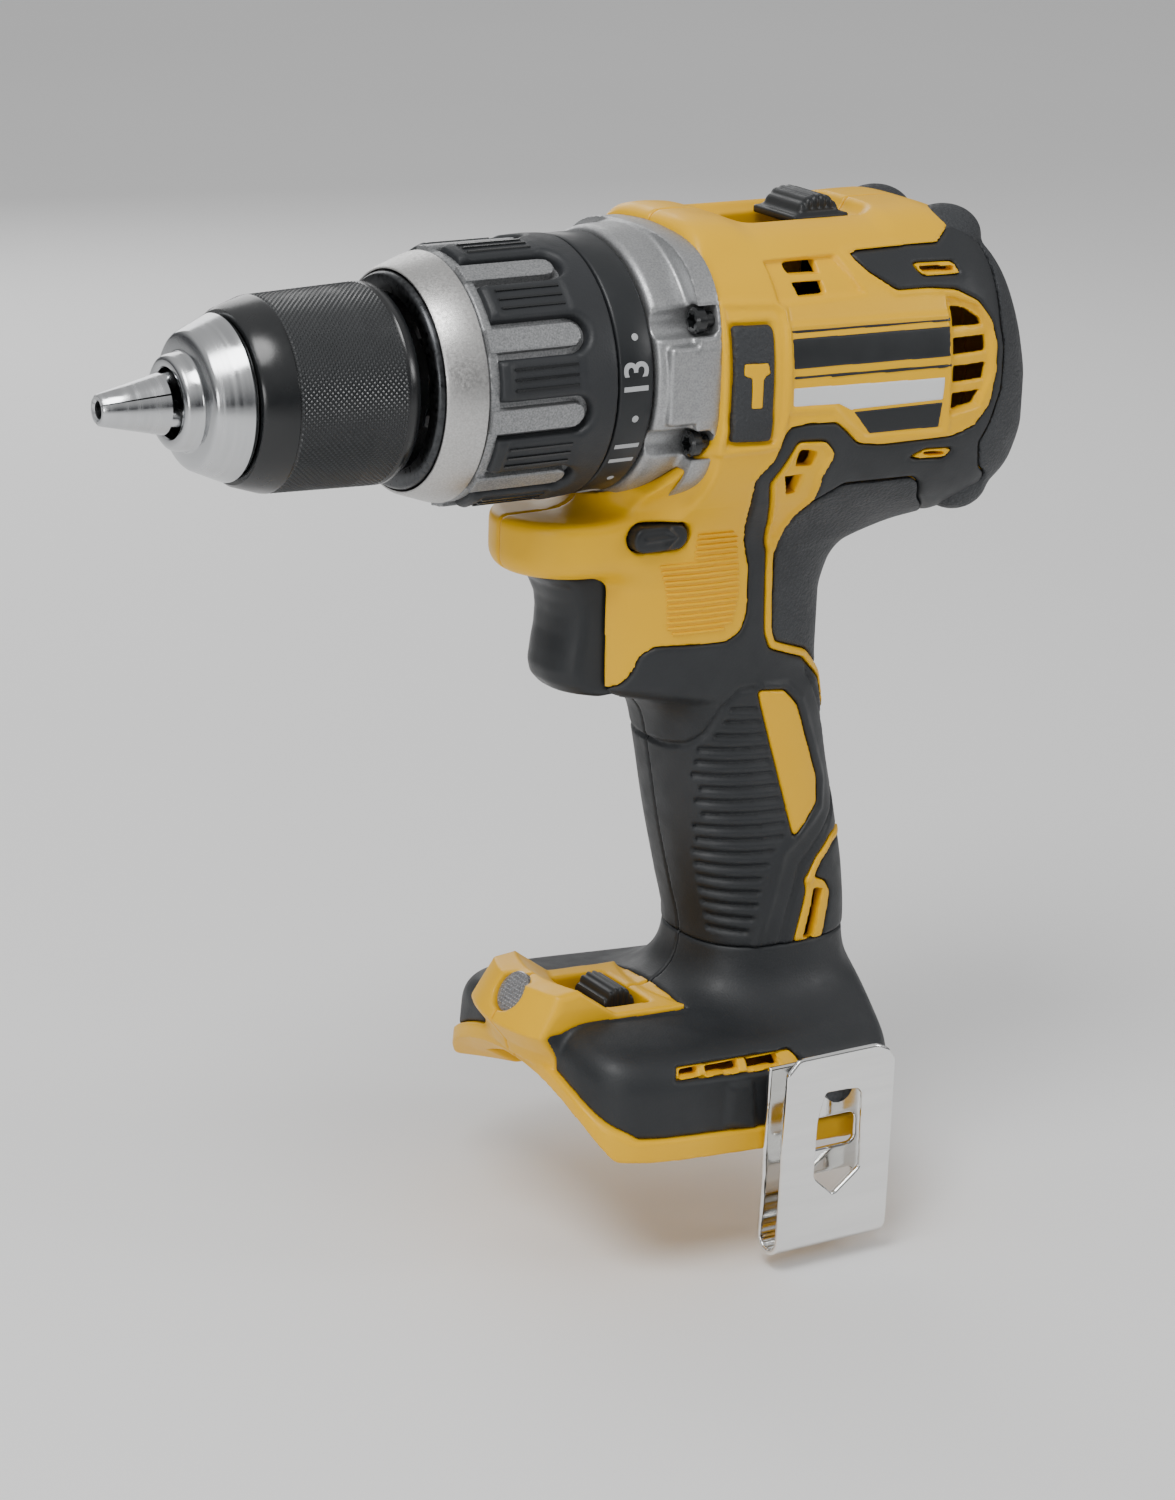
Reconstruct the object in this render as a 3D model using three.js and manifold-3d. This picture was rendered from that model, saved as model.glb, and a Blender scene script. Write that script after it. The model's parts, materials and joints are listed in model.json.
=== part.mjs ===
// A pistol-grip cordless hammer drill, built from its separate pieces.
//
// Units are millimetres. The pieces are drawn in barrel coordinates: X runs along the
// spindle axis towards the rear, Z is up, Y = 0 is the mirror plane and the front of the
// tool is towards -X. The finished group is shifted so that its origin is the middle of
// the battery seat, the flat roof of the socket under the foot.

import * as THREE from 'three';
import { mergeVertices } from 'three/addons/utils/BufferGeometryUtils.js';
import Module from 'manifold-3d';

const wasm = await Module();
wasm.setup();

// ---------------------------------------------------------------- driving dimensions

const GAP = 0.3; // clearance between pieces that rest on each other
const WALL = 3; // thickness of the moulded housing
const SKIN = 1.8; // thickness of the rubber overmould
const ROUND = 26; // facets on large turned pieces
const FINE = 14; // facets on small turned pieces

const CHUCK = {
  jawTip: -84.4, noseFront: -69.6, coneFront: -65.4, coneRear: -57.4, rear: -22.4,
  noseRadius: 9.4, coneFrontRadius: 13.75, coneRearRadius: 17.1, bodyRadius: 16.6,
  rearRadius: 18.3, boreRadius: 6.6,
};
const SLEEVE = { front: -57, rear: -23, frontRadius: 17.7, rearRadius: 20.6 };
const JAW = { angle: 14, radius: 3, tipOffset: 1.6, length: 28.5, count: 3 };

const COLLAR = {
  front: -19.3, ringRear: -10.9, gripRear: 18.1, rear: 26.6,
  frontRadius: 22.1, ringRadius: 25.7, gripRadius: 27.4, boreRadius: 22.4, grooves: 10,
};

const GEAR_CASE = {
  front: -9, neckRear: 26, faceFront: 27.2, visibleRear: 41, rear: 56,
  neckRadius: 17.5, halfWidth: 27.9, halfHeight: 27.6, tailRadius: 26.2,
};

const GEARS = { module: 1, sunTeeth: 12, planetTeeth: 9, ringTeeth: 30, planets: 3, pinRadius: 1.6 };
const CENTRE_DISTANCE = (GEARS.module * (GEARS.sunTeeth + GEARS.planetTeeth)) / 2;
const RING_RADIUS = 18.4;
const STAGE_2 = { front: 32.6, rear: 40 };
const STAGE_1 = { front: 45, rear: 52 };

const MOTOR = {
  shaftRadius: 2.5, rotorRadius: 11.8, statorBore: 12.4, statorRadius: 23.4,
  front: 72, rear: 96, shaftEnd: 113, fanFront: 61.5, fanRear: 68.5, fanRadius: 21,
};

const FOOT = { x: 55, z: -168.2, tilt: THREE.MathUtils.degToRad(4) };
const SOCKET = { halfWidth: 24.5, railHalfWidth: 29, lip: 4, roof: 12, front: -50, rear: 27 };
const SEAT_PLATE = { front: -22, bladeRecess: 2.4, rear: 26.7, halfWidth: 22, thickness: 2.6 };
const TRIGGER = { halfWidth: 9.6, travel: 7 };
const CLIP = { front: 56, rear: 86, sheet: 1.5, innerY: -38.8, outerY: -47, bottom: -191.5, top: -147 };

// ------------------------------------------------------------------------- materials

const finish = (color, roughness, metalness = 0) => ({ color, roughness, metalness });
const YELLOW = finish(0xf2b90f, 0.45);
const BLACK = finish(0x2b2d2f, 0.6);
const RUBBER = finish(0x35373a, 0.85);
const GREY = finish(0x77797b, 0.55);
const SILVER = finish(0xa4a6a8, 0.4, 0.8);
const STEEL = finish(0xb5b7ba, 0.3, 1);
const DARK_STEEL = finish(0x4a4c4f, 0.4, 1);
const CHROME = finish(0xe2e4e6, 0.12, 1);
const COPPER = finish(0xb4693a, 0.4, 1);
const BRASS = finish(0xc9a24f, 0.35, 1);
const BOARD = finish(0x1f5c38, 0.6);
const LENS = finish(0xdfe3e6, 0.2);

// --------------------------------------------------------------------- shape helpers

function signedVolume(positions, index) {
  const [a, b, c] = [new THREE.Vector3(), new THREE.Vector3(), new THREE.Vector3()];
  let volume = 0;
  for (let i = 0; i < index.length; i += 3) {
    a.fromBufferAttribute(positions, index[i]);
    b.fromBufferAttribute(positions, index[i + 1]);
    c.fromBufferAttribute(positions, index[i + 2]);
    volume += a.dot(b.cross(c)) / 6;
  }
  return volume;
}

// Turns a closed geometry into a manifold solid whose faces point out.
function solid(geometry) {
  const bare = geometry.clone();
  bare.deleteAttribute('normal');
  bare.deleteAttribute('uv');
  const merged = mergeVertices(bare, 1e-4);
  const index = Array.from(merged.index.array);
  const kept = [];
  for (let i = 0; i < index.length; i += 3) {
    const [a, b, c] = index.slice(i, i + 3);
    if (a !== b && b !== c && c !== a) kept.push(a, b, c);
  }
  if (signedVolume(merged.attributes.position, kept) < 0) kept.reverse();
  const mesh = new wasm.Mesh({
    numProp: 3,
    vertProperties: new Float32Array(merged.attributes.position.array),
    triVerts: new Uint32Array(kept),
  });
  return new wasm.Manifold(mesh);
}

function geometryOf(manifold) {
  const mesh = manifold.getMesh();
  const geometry = new THREE.BufferGeometry();
  geometry.setAttribute('position', new THREE.BufferAttribute(new Float32Array(mesh.vertProperties), 3));
  geometry.setIndex(new THREE.BufferAttribute(new Uint32Array(mesh.triVerts), 1));
  geometry.computeVertexNormals();
  return geometry;
}

const join = (first, ...others) => others.reduce((sum, next) => sum.add(next), first);
const cut = (first, ...others) => others.reduce((rest, next) => rest.subtract(next), first);

// A solid of revolution about the spindle axis from [x, radius] points.
function turned(profile, facets = ROUND) {
  const points = profile.map(([x, radius]) => new THREE.Vector2(radius, x));
  const geometry = new THREE.LatheGeometry(points, facets);
  return solid(geometry.rotateZ(-Math.PI / 2));
}

// A plain ring or tube about the spindle axis.
function ring(x0, x1, inner, outer, facets = FINE) {
  return turned([[x0, inner], [x0, outer], [x1, outer], [x1, inner], [x0, inner]], facets);
}

function rod(x0, x1, radius, facets = FINE) {
  return turned([[x0, 0], [x0, radius], [x1, radius], [x1, 0]], facets);
}

// A cylinder along Y.
function crossRod(x, z, y0, y1, radius, facets = FINE) {
  const geometry = new THREE.CylinderGeometry(radius, radius, Math.abs(y1 - y0), facets);
  return solid(geometry.translate(x, (y0 + y1) / 2, z));
}

function block(x0, x1, y0, y1, z0, z1) {
  const geometry = new THREE.BoxGeometry(x1 - x0, y1 - y0, z1 - z0);
  return solid(geometry.translate((x0 + x1) / 2, (y0 + y1) / 2, (z0 + z1) / 2));
}

// A side outline of [x, z] points, extruded across the tool from y0 to y1.
function sideOutline(points, y0, y1) {
  const shape = new THREE.Shape(points.map(([x, z]) => new THREE.Vector2(x, z)));
  const geometry = new THREE.ExtrudeGeometry(shape, { depth: y1 - y0, bevelEnabled: false });
  return solid(geometry.rotateX(Math.PI / 2).translate(0, y1, 0));
}

// A ring of points on a rounded rectangle, or a superellipse, of the given half sizes.
function roundedLoop(halfA, halfB, power, count) {
  const loop = [];
  for (let i = 0; i < count; i += 1) {
    const angle = (2 * Math.PI * (i + 0.5)) / count;
    const [c, s] = [Math.cos(angle), Math.sin(angle)];
    const a = halfA * Math.sign(c) * Math.abs(c) ** (2 / power);
    const b = halfB * Math.sign(s) * Math.abs(s) ** (2 / power);
    loop.push([a, b]);
  }
  return loop;
}

// A closed skin through equal loops of 3-D points, with a flat fan at each end.
function loft(loops) {
  const count = loops[0].length;
  const positions = loops.flat(2);
  const middle = (loop) => [0, 1, 2].map((k) => loop.reduce((sum, p) => sum + p[k], 0) / count);
  positions.push(...middle(loops[0]), ...middle(loops[loops.length - 1]));
  const [startPole, endPole] = [loops.length * count, loops.length * count + 1];
  const lastRow = (loops.length - 1) * count;
  const index = [];
  for (let i = 0; i < count; i += 1) {
    const next = (i + 1) % count;
    for (let row = 0; row < lastRow; row += count) {
      index.push(row + i, row + next, row + count + next);
      index.push(row + i, row + count + next, row + count + i);
    }
    index.push(startPole, next, i);
    index.push(endPole, lastRow + i, lastRow + next);
  }
  const geometry = new THREE.BufferGeometry();
  geometry.setAttribute('position', new THREE.Float32BufferAttribute(positions, 3));
  geometry.setIndex(index);
  return solid(geometry);
}

// Moves a solid from the foot's own level frame to barrel coordinates.
function inFootFrame(manifold) {
  return manifold.rotate([0, THREE.MathUtils.radToDeg(FOOT.tilt), 0]).translate([FOOT.x, 0, FOOT.z]);
}

// Moves a point [x, z] of the foot's frame to barrel coordinates.
function footPoint(x, z) {
  const [c, s] = [Math.cos(FOOT.tilt), Math.sin(FOOT.tilt)];
  return [FOOT.x + x * c + z * s, FOOT.z - x * s + z * c];
}

// -------------------------------------------------------------- outer form of the body

// Barrel sections: x, top, bottom, half width.
const BARREL = [
  [41, 28.6, -31, 30.2], [46, 30, -33, 31.2], [100, 29.4, -36, 31.2], [108, 28, -37.5, 30.4],
  [115, 24.5, -36, 28.6], [121, 18.5, -31, 25], [125.5, 10, -25, 19.5], [128, 0, -17, 11],
];

// Handle sections: z, front x, rear x, half width.
const HANDLE = [
  [-28.8, 26, 92, 17.5], [-40, 24, 91, 17.5], [-54, 23, 84.2, 17], [-66.5, 23, 84.4, 17],
  [-71, 32, 85, 17], [-76, 43, 85.7, 17], [-86, 45.5, 87.4, 16.8], [-104, 48.8, 91, 16.8],
  [-119, 52.5, 93, 17.4], [-127, 53, 94, 19.5], [-134, 44, 94.4, 24], [-142, 34, 94.6, 30],
];

// Foot sections in the foot's frame: z, front x, rear x, half width.
const FOOT_SECTIONS = [
  [0, -40, 38, 37.2], [2, -42, 38.6, 38], [13, -42, 38.8, 37.2], [18, -41.5, 38.8, 34.5],
  [22, -41, 38.8, 29.5], [24.6, -40, 38.8, 24.5], [27.5, -13, 38.6, 24.5], [33, -7, 38, 22], [38, -4, 38, 20],
];

// Nose boss under the collar, in plan: x, half width.
const BOSS = { top: -31, bottom: -43.5, nose: 6.6, halfWidth: 15.5, rear: 42 };

function barrelForm(inset) {
  const loops = BARREL.map(([x, top, bottom, half], i) => {
    const station = i === 0 ? x - inset : Math.min(x, BARREL.at(-1)[0] - inset);
    const middle = (top + bottom) / 2;
    const loop = roundedLoop(half - inset, (top - bottom) / 2 - inset, 2.5, 16);
    return loop.map(([y, z]) => [station - (i > 1 ? inset * (i / BARREL.length) : 0), y, middle + z]);
  });
  return loft(loops);
}

function handleForm(inset) {
  const loops = HANDLE.map(([z, front, rear, half]) => {
    const loop = roundedLoop((rear - front) / 2 - inset, half - inset, 2.6, 12);
    return loop.map(([x, y]) => [(front + rear) / 2 + x, y, z]);
  });
  return loft(loops);
}

function footForm(inset) {
  const loops = FOOT_SECTIONS.map(([z, front, rear, half]) => {
    const loop = roundedLoop((rear - front) / 2 - inset, half - inset, 6, 12);
    return loop.map(([x, y]) => [(front + rear) / 2 + x, y, z - inset * (z > 20 ? 1 : 0)]);
  });
  return inFootFrame(loft(loops));
}

function bossForm(inset) {
  const shape = new THREE.Shape();
  const half = BOSS.halfWidth - inset;
  shape.moveTo(BOSS.rear, -half);
  shape.lineTo(BOSS.rear, half);
  shape.absarc(BOSS.nose + BOSS.halfWidth, 0, half, Math.PI / 2, (3 * Math.PI) / 2, false);
  const depth = BOSS.top - BOSS.bottom - 2 * inset;
  const geometry = new THREE.ExtrudeGeometry(shape, { depth, bevelEnabled: false, curveSegments: 8 });
  return solid(geometry.translate(0, 0, BOSS.bottom + inset));
}

const LAMP_NOSE = [
  [14.4, -135.4], [20.5, -134.9], [28.6, -141.4], [46, -142.4],
  [46, -149], [13.8, -152], [9.5, -149], [8.9, -143.9],
];
const LAMP_HALF_WIDTH = 15;
const lampForm = () => sideOutline(LAMP_NOSE, -LAMP_HALF_WIDTH, LAMP_HALF_WIDTH);

const outerForm = (inset) => join(barrelForm(inset), handleForm(inset), footForm(inset), bossForm(inset));

// Side outline of the rubber that covers the handle and the foot.
function gripRegion(margin) {
  const rearBottom = footPoint(60, 4.5 - margin);
  const frontBottom = footPoint(-29 - margin, 4.5 - margin);
  const outline = [
    [36, -71 + margin], [60 - margin, -71 + margin], [64 - margin, -43 + margin], [112, -43 + margin],
    rearBottom, frontBottom, [frontBottom[0], -120],
  ];
  return sideOutline(outline, -60, 60);
}

// ------------------------------------------------------------------- housing and grips

// Housing screws: x, z and the y of each head's seat.
const SCREW_POSTS = [[106.6, 19.5, 20], [76, -50, 9.5], [84, -113, 9.5]];
const BUTTON = { x: 35, z: -34.8, halfLength: 6.6, halfHeight: 3, reach: 18.9 };

function ovalBar(halfLength, halfHeight, reach) {
  const shape = new THREE.Shape();
  const straight = halfLength - halfHeight;
  shape.absarc(straight, 0, halfHeight, -Math.PI / 2, Math.PI / 2, false);
  shape.absarc(-straight, 0, halfHeight, Math.PI / 2, (3 * Math.PI) / 2, false);
  const options = { depth: 2 * reach, bevelEnabled: false, curveSegments: 8 };
  const geometry = new THREE.ExtrudeGeometry(shape, options);
  return solid(geometry.rotateX(Math.PI / 2).translate(BUTTON.x, reach, BUTTON.z));
}

// The clearance hole and counterbore of a housing screw.
function screwPocket([x, z, seat]) {
  return join(crossRod(x, z, -9, 40, 1.8, 8), crossRod(x, z, seat, 40, 3.4, 10));
}

// Cooling windows on both sides: low corner, high corner of each box in x and z.
const WINDOWS = [
  [100.5, 103, -11, 9], [104.6, 107.1, -11, 8], [61, 67.5, -19, -14.5], [58, 64.5, -25.5, -21],
];

const SELECTOR = { front: 72, rear: 86, halfWidth: 8, travel: 8, floor: 26.6, top: 32.4 };

function batterySocket() {
  const channel = block(SOCKET.front, SOCKET.rear, -SOCKET.halfWidth, SOCKET.halfWidth, -2, SOCKET.roof);
  const rails = block(SOCKET.front, SOCKET.rear, -SOCKET.railHalfWidth, SOCKET.railHalfWidth,
    SOCKET.lip, SOCKET.roof);
  return inFootFrame(join(channel, rails));
}

function housing() {
  const aboveSocket = inFootFrame(block(-80, 80, -60, 60, SOCKET.roof + WALL, 260));
  const cavity = outerForm(WALL).intersect(aboveSocket);
  const frontMouth = rod(30, 47, 27, ROUND);
  const outside = join(outerForm(0), lampForm());
  const posts = SCREW_POSTS.map(([x, z]) => crossRod(x, z, -40, 40, 4, 10).intersect(outerForm(1)));
  let body = join(cut(outside, cavity, frontMouth), ...posts);
  for (const post of SCREW_POSTS) body = cut(body, screwPocket(post));
  const underGrip = outerForm(SKIN + GAP);
  body = cut(body, gripRegion(GAP).subtract(underGrip), bumperRegion(GAP).subtract(underGrip));
  body = cut(body, batterySocket(), seatPlateOpening(), triggerPocket(), ovalBar(7.2, 3.6, 40));
  for (const [x0, x1, z0, z1] of WINDOWS) body = cut(body, block(x0, x1, -40, 40, z0, z1));
  const slot = block(SELECTOR.front - SELECTOR.travel - 0.6, SELECTOR.rear + 0.6,
    -SELECTOR.halfWidth - 0.6, SELECTOR.halfWidth + 0.6, SELECTOR.floor, 40);
  return cut(body, slot, lampRod(-4, 9, LAMP.radius + GAP), ledSwitchPocket());
}

// A cylinder on the lamp's line, which looks forward and up from the foot.
const LAMP = { x: 11.7, z: -139.4, rise: 33, radius: 4.7 };
function lampRod(from, to, radius) {
  const geometry = new THREE.CylinderGeometry(radius, radius, to - from, FINE);
  geometry.rotateZ(-Math.PI / 2).translate((from + to) / 2, 0, 0);
  geometry.rotateY(THREE.MathUtils.degToRad(LAMP.rise));
  return solid(geometry.translate(LAMP.x, 0, LAMP.z));
}

const LED_SWITCH = { x: 37, z: -140, halfLength: 4, halfWidth: 5.5, travel: 2.5 };
function ledSwitchPocket() {
  const { x, z, halfLength, halfWidth, travel } = LED_SWITCH;
  return block(x - halfLength - 0.5, x + halfLength + 0.5, -halfWidth - travel - 0.5,
    halfWidth + travel + 0.5, z - 6, z + 8);
}

function triggerPocket() {
  return block(10, 42.5, -TRIGGER.halfWidth - 0.6, TRIGGER.halfWidth + 0.6, -66.6, -41.4);
}

const bumperRegion = (margin) => block(112.5 - margin, 140, -60, 60, -33 - margin, 26 + margin);

const halfSpace = (side) => (side < 0 ? block(-200, 200, -100, -0.15, -300, 100)
  : block(-200, 200, 0.15, 100, -300, 100));

const wholeHousing = housing();
const wholeGrip = cut(outerForm(0).subtract(outerForm(SKIN)).intersect(gripRegion(0)),
  ...SCREW_POSTS.map(screwPocket), ledSwitchPocket());

const housingHalf = (side) => wholeHousing.intersect(halfSpace(side));
const gripHalf = (side) => wholeGrip.intersect(halfSpace(side));

const rearBumper = () => outerForm(0).subtract(outerForm(SKIN)).intersect(bumperRegion(0));

function housingScrew([x, z, seat]) {
  return join(crossRod(x, z, -6, seat + 1, 1.5, 8), crossRod(x, z, seat + GAP, seat + 2.6, 3, 10));
}

// ------------------------------------------------------------------- chuck and spindle

const jawSlope = THREE.MathUtils.degToRad(JAW.angle);

// A cylinder along a jaw's own line, from its tip by start to end.
function jawLine(start, end, radius, facets = 12) {
  const geometry = new THREE.CylinderGeometry(radius, radius, end - start, facets);
  geometry.rotateZ(-Math.PI / 2).translate((start + end) / 2, 0, 0).rotateY(-jawSlope);
  return solid(geometry.translate(CHUCK.jawTip, 0, JAW.tipOffset));
}

const aboutBarrel = (manifold, degrees) => manifold.rotate([degrees, 0, 0]);

function jaw(number) {
  const bar = jawLine(0, JAW.length, JAW.radius);
  const wedge = new THREE.Shape([
    new THREE.Vector2(0, 0.2),
    new THREE.Vector2(20 * Math.sin(Math.PI / 3), 0.2 + 20 * Math.cos(Math.PI / 3)),
    new THREE.Vector2(0, 40),
    new THREE.Vector2(-20 * Math.sin(Math.PI / 3), 0.2 + 20 * Math.cos(Math.PI / 3)),
  ]);
  const sector = new THREE.ExtrudeGeometry(wedge, { depth: 60, bevelEnabled: false });
  const third = solid(sector.rotateX(Math.PI / 2).rotateZ(Math.PI / 2).translate(-90, 0, 0));
  const tipCone = turned([[CHUCK.jawTip, 0], [CHUCK.jawTip, 3.2], [CHUCK.jawTip + 12, 9.5],
    [-30, 20], [-30, 0]], FINE);
  return aboutBarrel(bar.intersect(third).intersect(tipCone), (360 / JAW.count) * number);
}

function chuckBody() {
  const blank = turned([
    [CHUCK.noseFront, 0], [CHUCK.noseFront, CHUCK.noseRadius], [CHUCK.coneFront, CHUCK.noseRadius],
    [CHUCK.coneFront, CHUCK.coneFrontRadius], [CHUCK.coneRear, CHUCK.coneRearRadius],
    [CHUCK.coneRear, CHUCK.bodyRadius], [-44, CHUCK.bodyRadius], [-44, CHUCK.rearRadius],
    [CHUCK.rear, CHUCK.rearRadius], [CHUCK.rear, 0],
  ]);
  const bore = rod(-90, -10, CHUCK.boreRadius);
  const channels = [0, 1, 2].map((k) => aboutBarrel(jawLine(5, 57.5, JAW.radius + 0.35, 10), k * 120));
  return cut(blank, bore, ...channels);
}

function chuckSleeve() {
  return turned([
    [SLEEVE.front, SLEEVE.frontRadius - 0.8], [SLEEVE.front, SLEEVE.frontRadius],
    [-50.5, 19.4], [-49.6, 19.9], [-26, SLEEVE.rearRadius], [SLEEVE.rear, SLEEVE.rearRadius - 0.3],
    [SLEEVE.rear, CHUCK.rearRadius + 0.4], [-44.6, CHUCK.rearRadius + 0.4], [-44.6, 16.9],
    [SLEEVE.front, 16.9],
  ].concat([[SLEEVE.front, SLEEVE.frontRadius - 0.8]]));
}

const spindle = () => turned([
  [-47.2, 0], [-47.2, 6.2], [-22, 6.2], [-22, 12], [-17, 12], [-17, 8], [31.8, 8], [31.8, 0],
], FINE);

const chuckScrew = () => rod(-52, -47.6, 4.6, 12);

// ---------------------------------------------------------------- gearbox and clutch

// Outline of a spur gear with slim straight-sided teeth, for free running.
function gearOutline(teeth, tip, root, tipShare, rootShare) {
  const points = [];
  const pitch = (2 * Math.PI) / teeth;
  for (let i = 0; i < teeth; i += 1) {
    const middle = i * pitch;
    const corners = [[root, -rootShare], [tip, -tipShare], [tip, tipShare], [root, rootShare]];
    for (const [radius, share] of corners) {
      const angle = middle + (share * pitch) / 2;
      points.push(new THREE.Vector2(radius * Math.cos(angle), radius * Math.sin(angle)));
    }
  }
  return points;
}

function alongBarrel(shape, x0, x1) {
  const options = { depth: x1 - x0, bevelEnabled: false, curveSegments: 8 };
  const geometry = new THREE.ExtrudeGeometry(shape, options);
  geometry.rotateX(Math.PI / 2).rotateZ(Math.PI / 2);
  geometry.computeBoundingBox();
  return solid(geometry.translate(x0 - geometry.boundingBox.min.x, 0, 0));
}

function circleHole(radius) {
  const corners = Array.from({ length: 8 }, (_, k) => (k * Math.PI) / 4);
  return new THREE.Path(corners.map((a) => new THREE.Vector2(radius * Math.cos(a), radius * Math.sin(a))));
}

function outsideGear(teeth, x0, x1, boreRadius) {
  const pitchRadius = (teeth * GEARS.module) / 2;
  const outline = gearOutline(teeth, pitchRadius + 0.85, pitchRadius - 1.15, 0.2, 0.56);
  const shape = new THREE.Shape(outline);
  if (boreRadius > 0) shape.holes.push(circleHole(boreRadius));
  return alongBarrel(shape, x0, x1);
}

function ringGear(x0, x1) {
  const shape = new THREE.Shape();
  shape.absarc(0, 0, RING_RADIUS, 0, 2 * Math.PI, false);
  const pitchRadius = (GEARS.ringTeeth * GEARS.module) / 2;
  shape.holes.push(new THREE.Path(ringTeeth(pitchRadius, GEARS.ringTeeth)));
  return alongBarrel(shape, x0, x1);
}

// Inner outline of a ring gear: narrow teeth that point inwards.
function ringTeeth(pitchRadius, teeth) {
  const pitch = (2 * Math.PI) / teeth;
  const points = [];
  for (let i = 0; i < teeth; i += 1) {
    const middle = (i + 0.5) * pitch;
    for (const [radius, share] of [[pitchRadius + 1.15, -0.5], [pitchRadius - 0.85, -0.18],
      [pitchRadius - 0.85, 0.18], [pitchRadius + 1.15, 0.5]]) {
      const angle = middle + (share * pitch) / 2;
      points.push(new THREE.Vector2(radius * Math.cos(angle), radius * Math.sin(angle)));
    }
  }
  return points;
}

function planet(stage, number) {
  const angle = number * 120;
  const bore = GEARS.pinRadius + GAP + 0.2;
  const gear = outsideGear(GEARS.planetTeeth, stage.front + 0.4, stage.rear - 0.4, bore);
  return aboutBarrel(gear.translate([0, CENTRE_DISTANCE, 0]), angle);
}

function carrierPins(x0, x1) {
  return [0, 1, 2].map((k) => aboutBarrel(
    rod(x0, x1, GEARS.pinRadius, 8).translate([0, CENTRE_DISTANCE, 0]), k * 120));
}

function outputCarrier() {
  return join(ring(28.4, 32.2, 8.3, 14), ...carrierPins(32, STAGE_2.rear - 0.6));
}

function middleCarrier() {
  const disc = rod(41, 44.4, 14);
  const sun = outsideGear(GEARS.sunTeeth, STAGE_2.front, 41.2, 0);
  return join(disc, sun, ...carrierPins(44.2, STAGE_1.rear - 0.6));
}

function gearCase() {
  const { front, neckRear, faceFront, visibleRear, rear, neckRadius, halfWidth, halfHeight } = GEAR_CASE;
  const neck = rod(front, neckRear + 2, neckRadius, ROUND);
  const loops = [[faceFront, 0.965], [faceFront + 1.5, 1], [visibleRear - GAP, 1]].map(([x, scale]) =>
    roundedLoop(halfWidth * scale, halfHeight * scale, 2.6, 24).map(([y, z]) => [x, y, z]));
  const tail = rod(visibleRear - 2, rear, GEAR_CASE.tailRadius, ROUND);
  const sidePads = block(28.8, visibleRear - GAP, -28.6, 28.6, -8.3, 8.3);
  const bore = join(rod(front - 1, 12, 15), rod(11, 28, 12.6), rod(27.6, rear + 1, RING_RADIUS + GAP, ROUND));
  let body = cut(join(neck, loft(loops), tail, sidePads), bore);
  for (const [y, z] of GEAR_SCREWS) {
    const pocket = block(29.5, 36.5, y > 0 ? 23.6 : -40, y > 0 ? 40 : -23.6, z - 3, z + 3);
    body = cut(body, pocket, block(36, 42, y > 0 ? 24.4 : -27.6, y > 0 ? 27.6 : -24.4, z - 1.6, z + 1.6));
  }
  return body;
}

const GEAR_SCREWS = [[-26, 12.8], [-26, -12.8], [26, 12.8], [26, -12.8]];
function gearCaseScrew([y, z]) {
  const head = rod(32.6, 35.6, 2.1, 10);
  const shank = rod(35.4, 40.2, 1.2, 8);
  return join(head, shank).translate([0, y, z]);
}

function ratchet(x0, x1, inner, outer, toothX0, toothX1) {
  let body = ring(x0, x1, inner, outer);
  for (let k = 0; k < 10; k += 1) {
    const tooth = block(toothX0, toothX1, -1.3, 1.3, inner + 0.6, outer - 0.6);
    body = body.add(aboutBarrel(tooth, k * 36));
  }
  return body;
}

function clutchSpring() {
  const turns = 3;
  const [radius, x0, x1] = [20.1, 0, 20];
  const points = [];
  for (let i = 0; i <= turns * 12; i += 1) {
    const angle = (2 * Math.PI * i) / 12;
    const x = x0 + ((x1 - x0) * i) / (turns * 12);
    points.push(new THREE.Vector3(x, radius * Math.cos(angle), radius * Math.sin(angle)));
  }
  const section = new THREE.Shape();
  section.absarc(0, 0, 1.3, 0, 2 * Math.PI, false);
  const path = new THREE.CatmullRomCurve3(points);
  const options = { extrudePath: path, steps: turns * 12, curveSegments: 3, bevelEnabled: false };
  return solid(new THREE.ExtrudeGeometry(section, options));
}

// --------------------------------------------------------------------- torque collar

function collarShell() {
  const { ringRear, gripRear, boreRadius, ringRadius, gripRadius } = COLLAR;
  let body = ring(ringRear + GAP, gripRear - 0.3, boreRadius, ringRadius, ROUND);
  body = join(body, turned([[ringRear + GAP, boreRadius], [ringRear + GAP, ringRadius],
    [gripRear - GAP, gripRadius], [gripRear - GAP, boreRadius], [ringRear + GAP, boreRadius]]));
  const frontWall = ring(ringRear + GAP, ringRear + 3, GEAR_CASE.neckRadius + 0.5, boreRadius + 1, ROUND);
  const padSeats = collarPads(GAP);
  return cut(join(body, frontWall), padSeats);
}

// The rubber band round the rear of the collar with a finger pad between each groove.
function collarPads(margin) {
  const { gripRear, gripRadius } = COLLAR;
  const inner = gripRadius - 2.4 - margin;
  const bandRear = gripRear + (margin ? 1 : -GAP);
  let pads = ring(gripRear - 5 - margin, bandRear, inner, gripRadius + margin * 4, ROUND);
  for (let k = 0; k < COLLAR.grooves; k += 1) {
    const half = 4.4 + margin;
    const pad = block(-3 - margin, gripRear - 4, -half, half, inner - 0.2, gripRadius + margin * 4 - 0.6);
    pads = pads.add(aboutBarrel(pad, (360 / COLLAR.grooves) * (k + 0.5)));
  }
  return pads;
}

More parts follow.
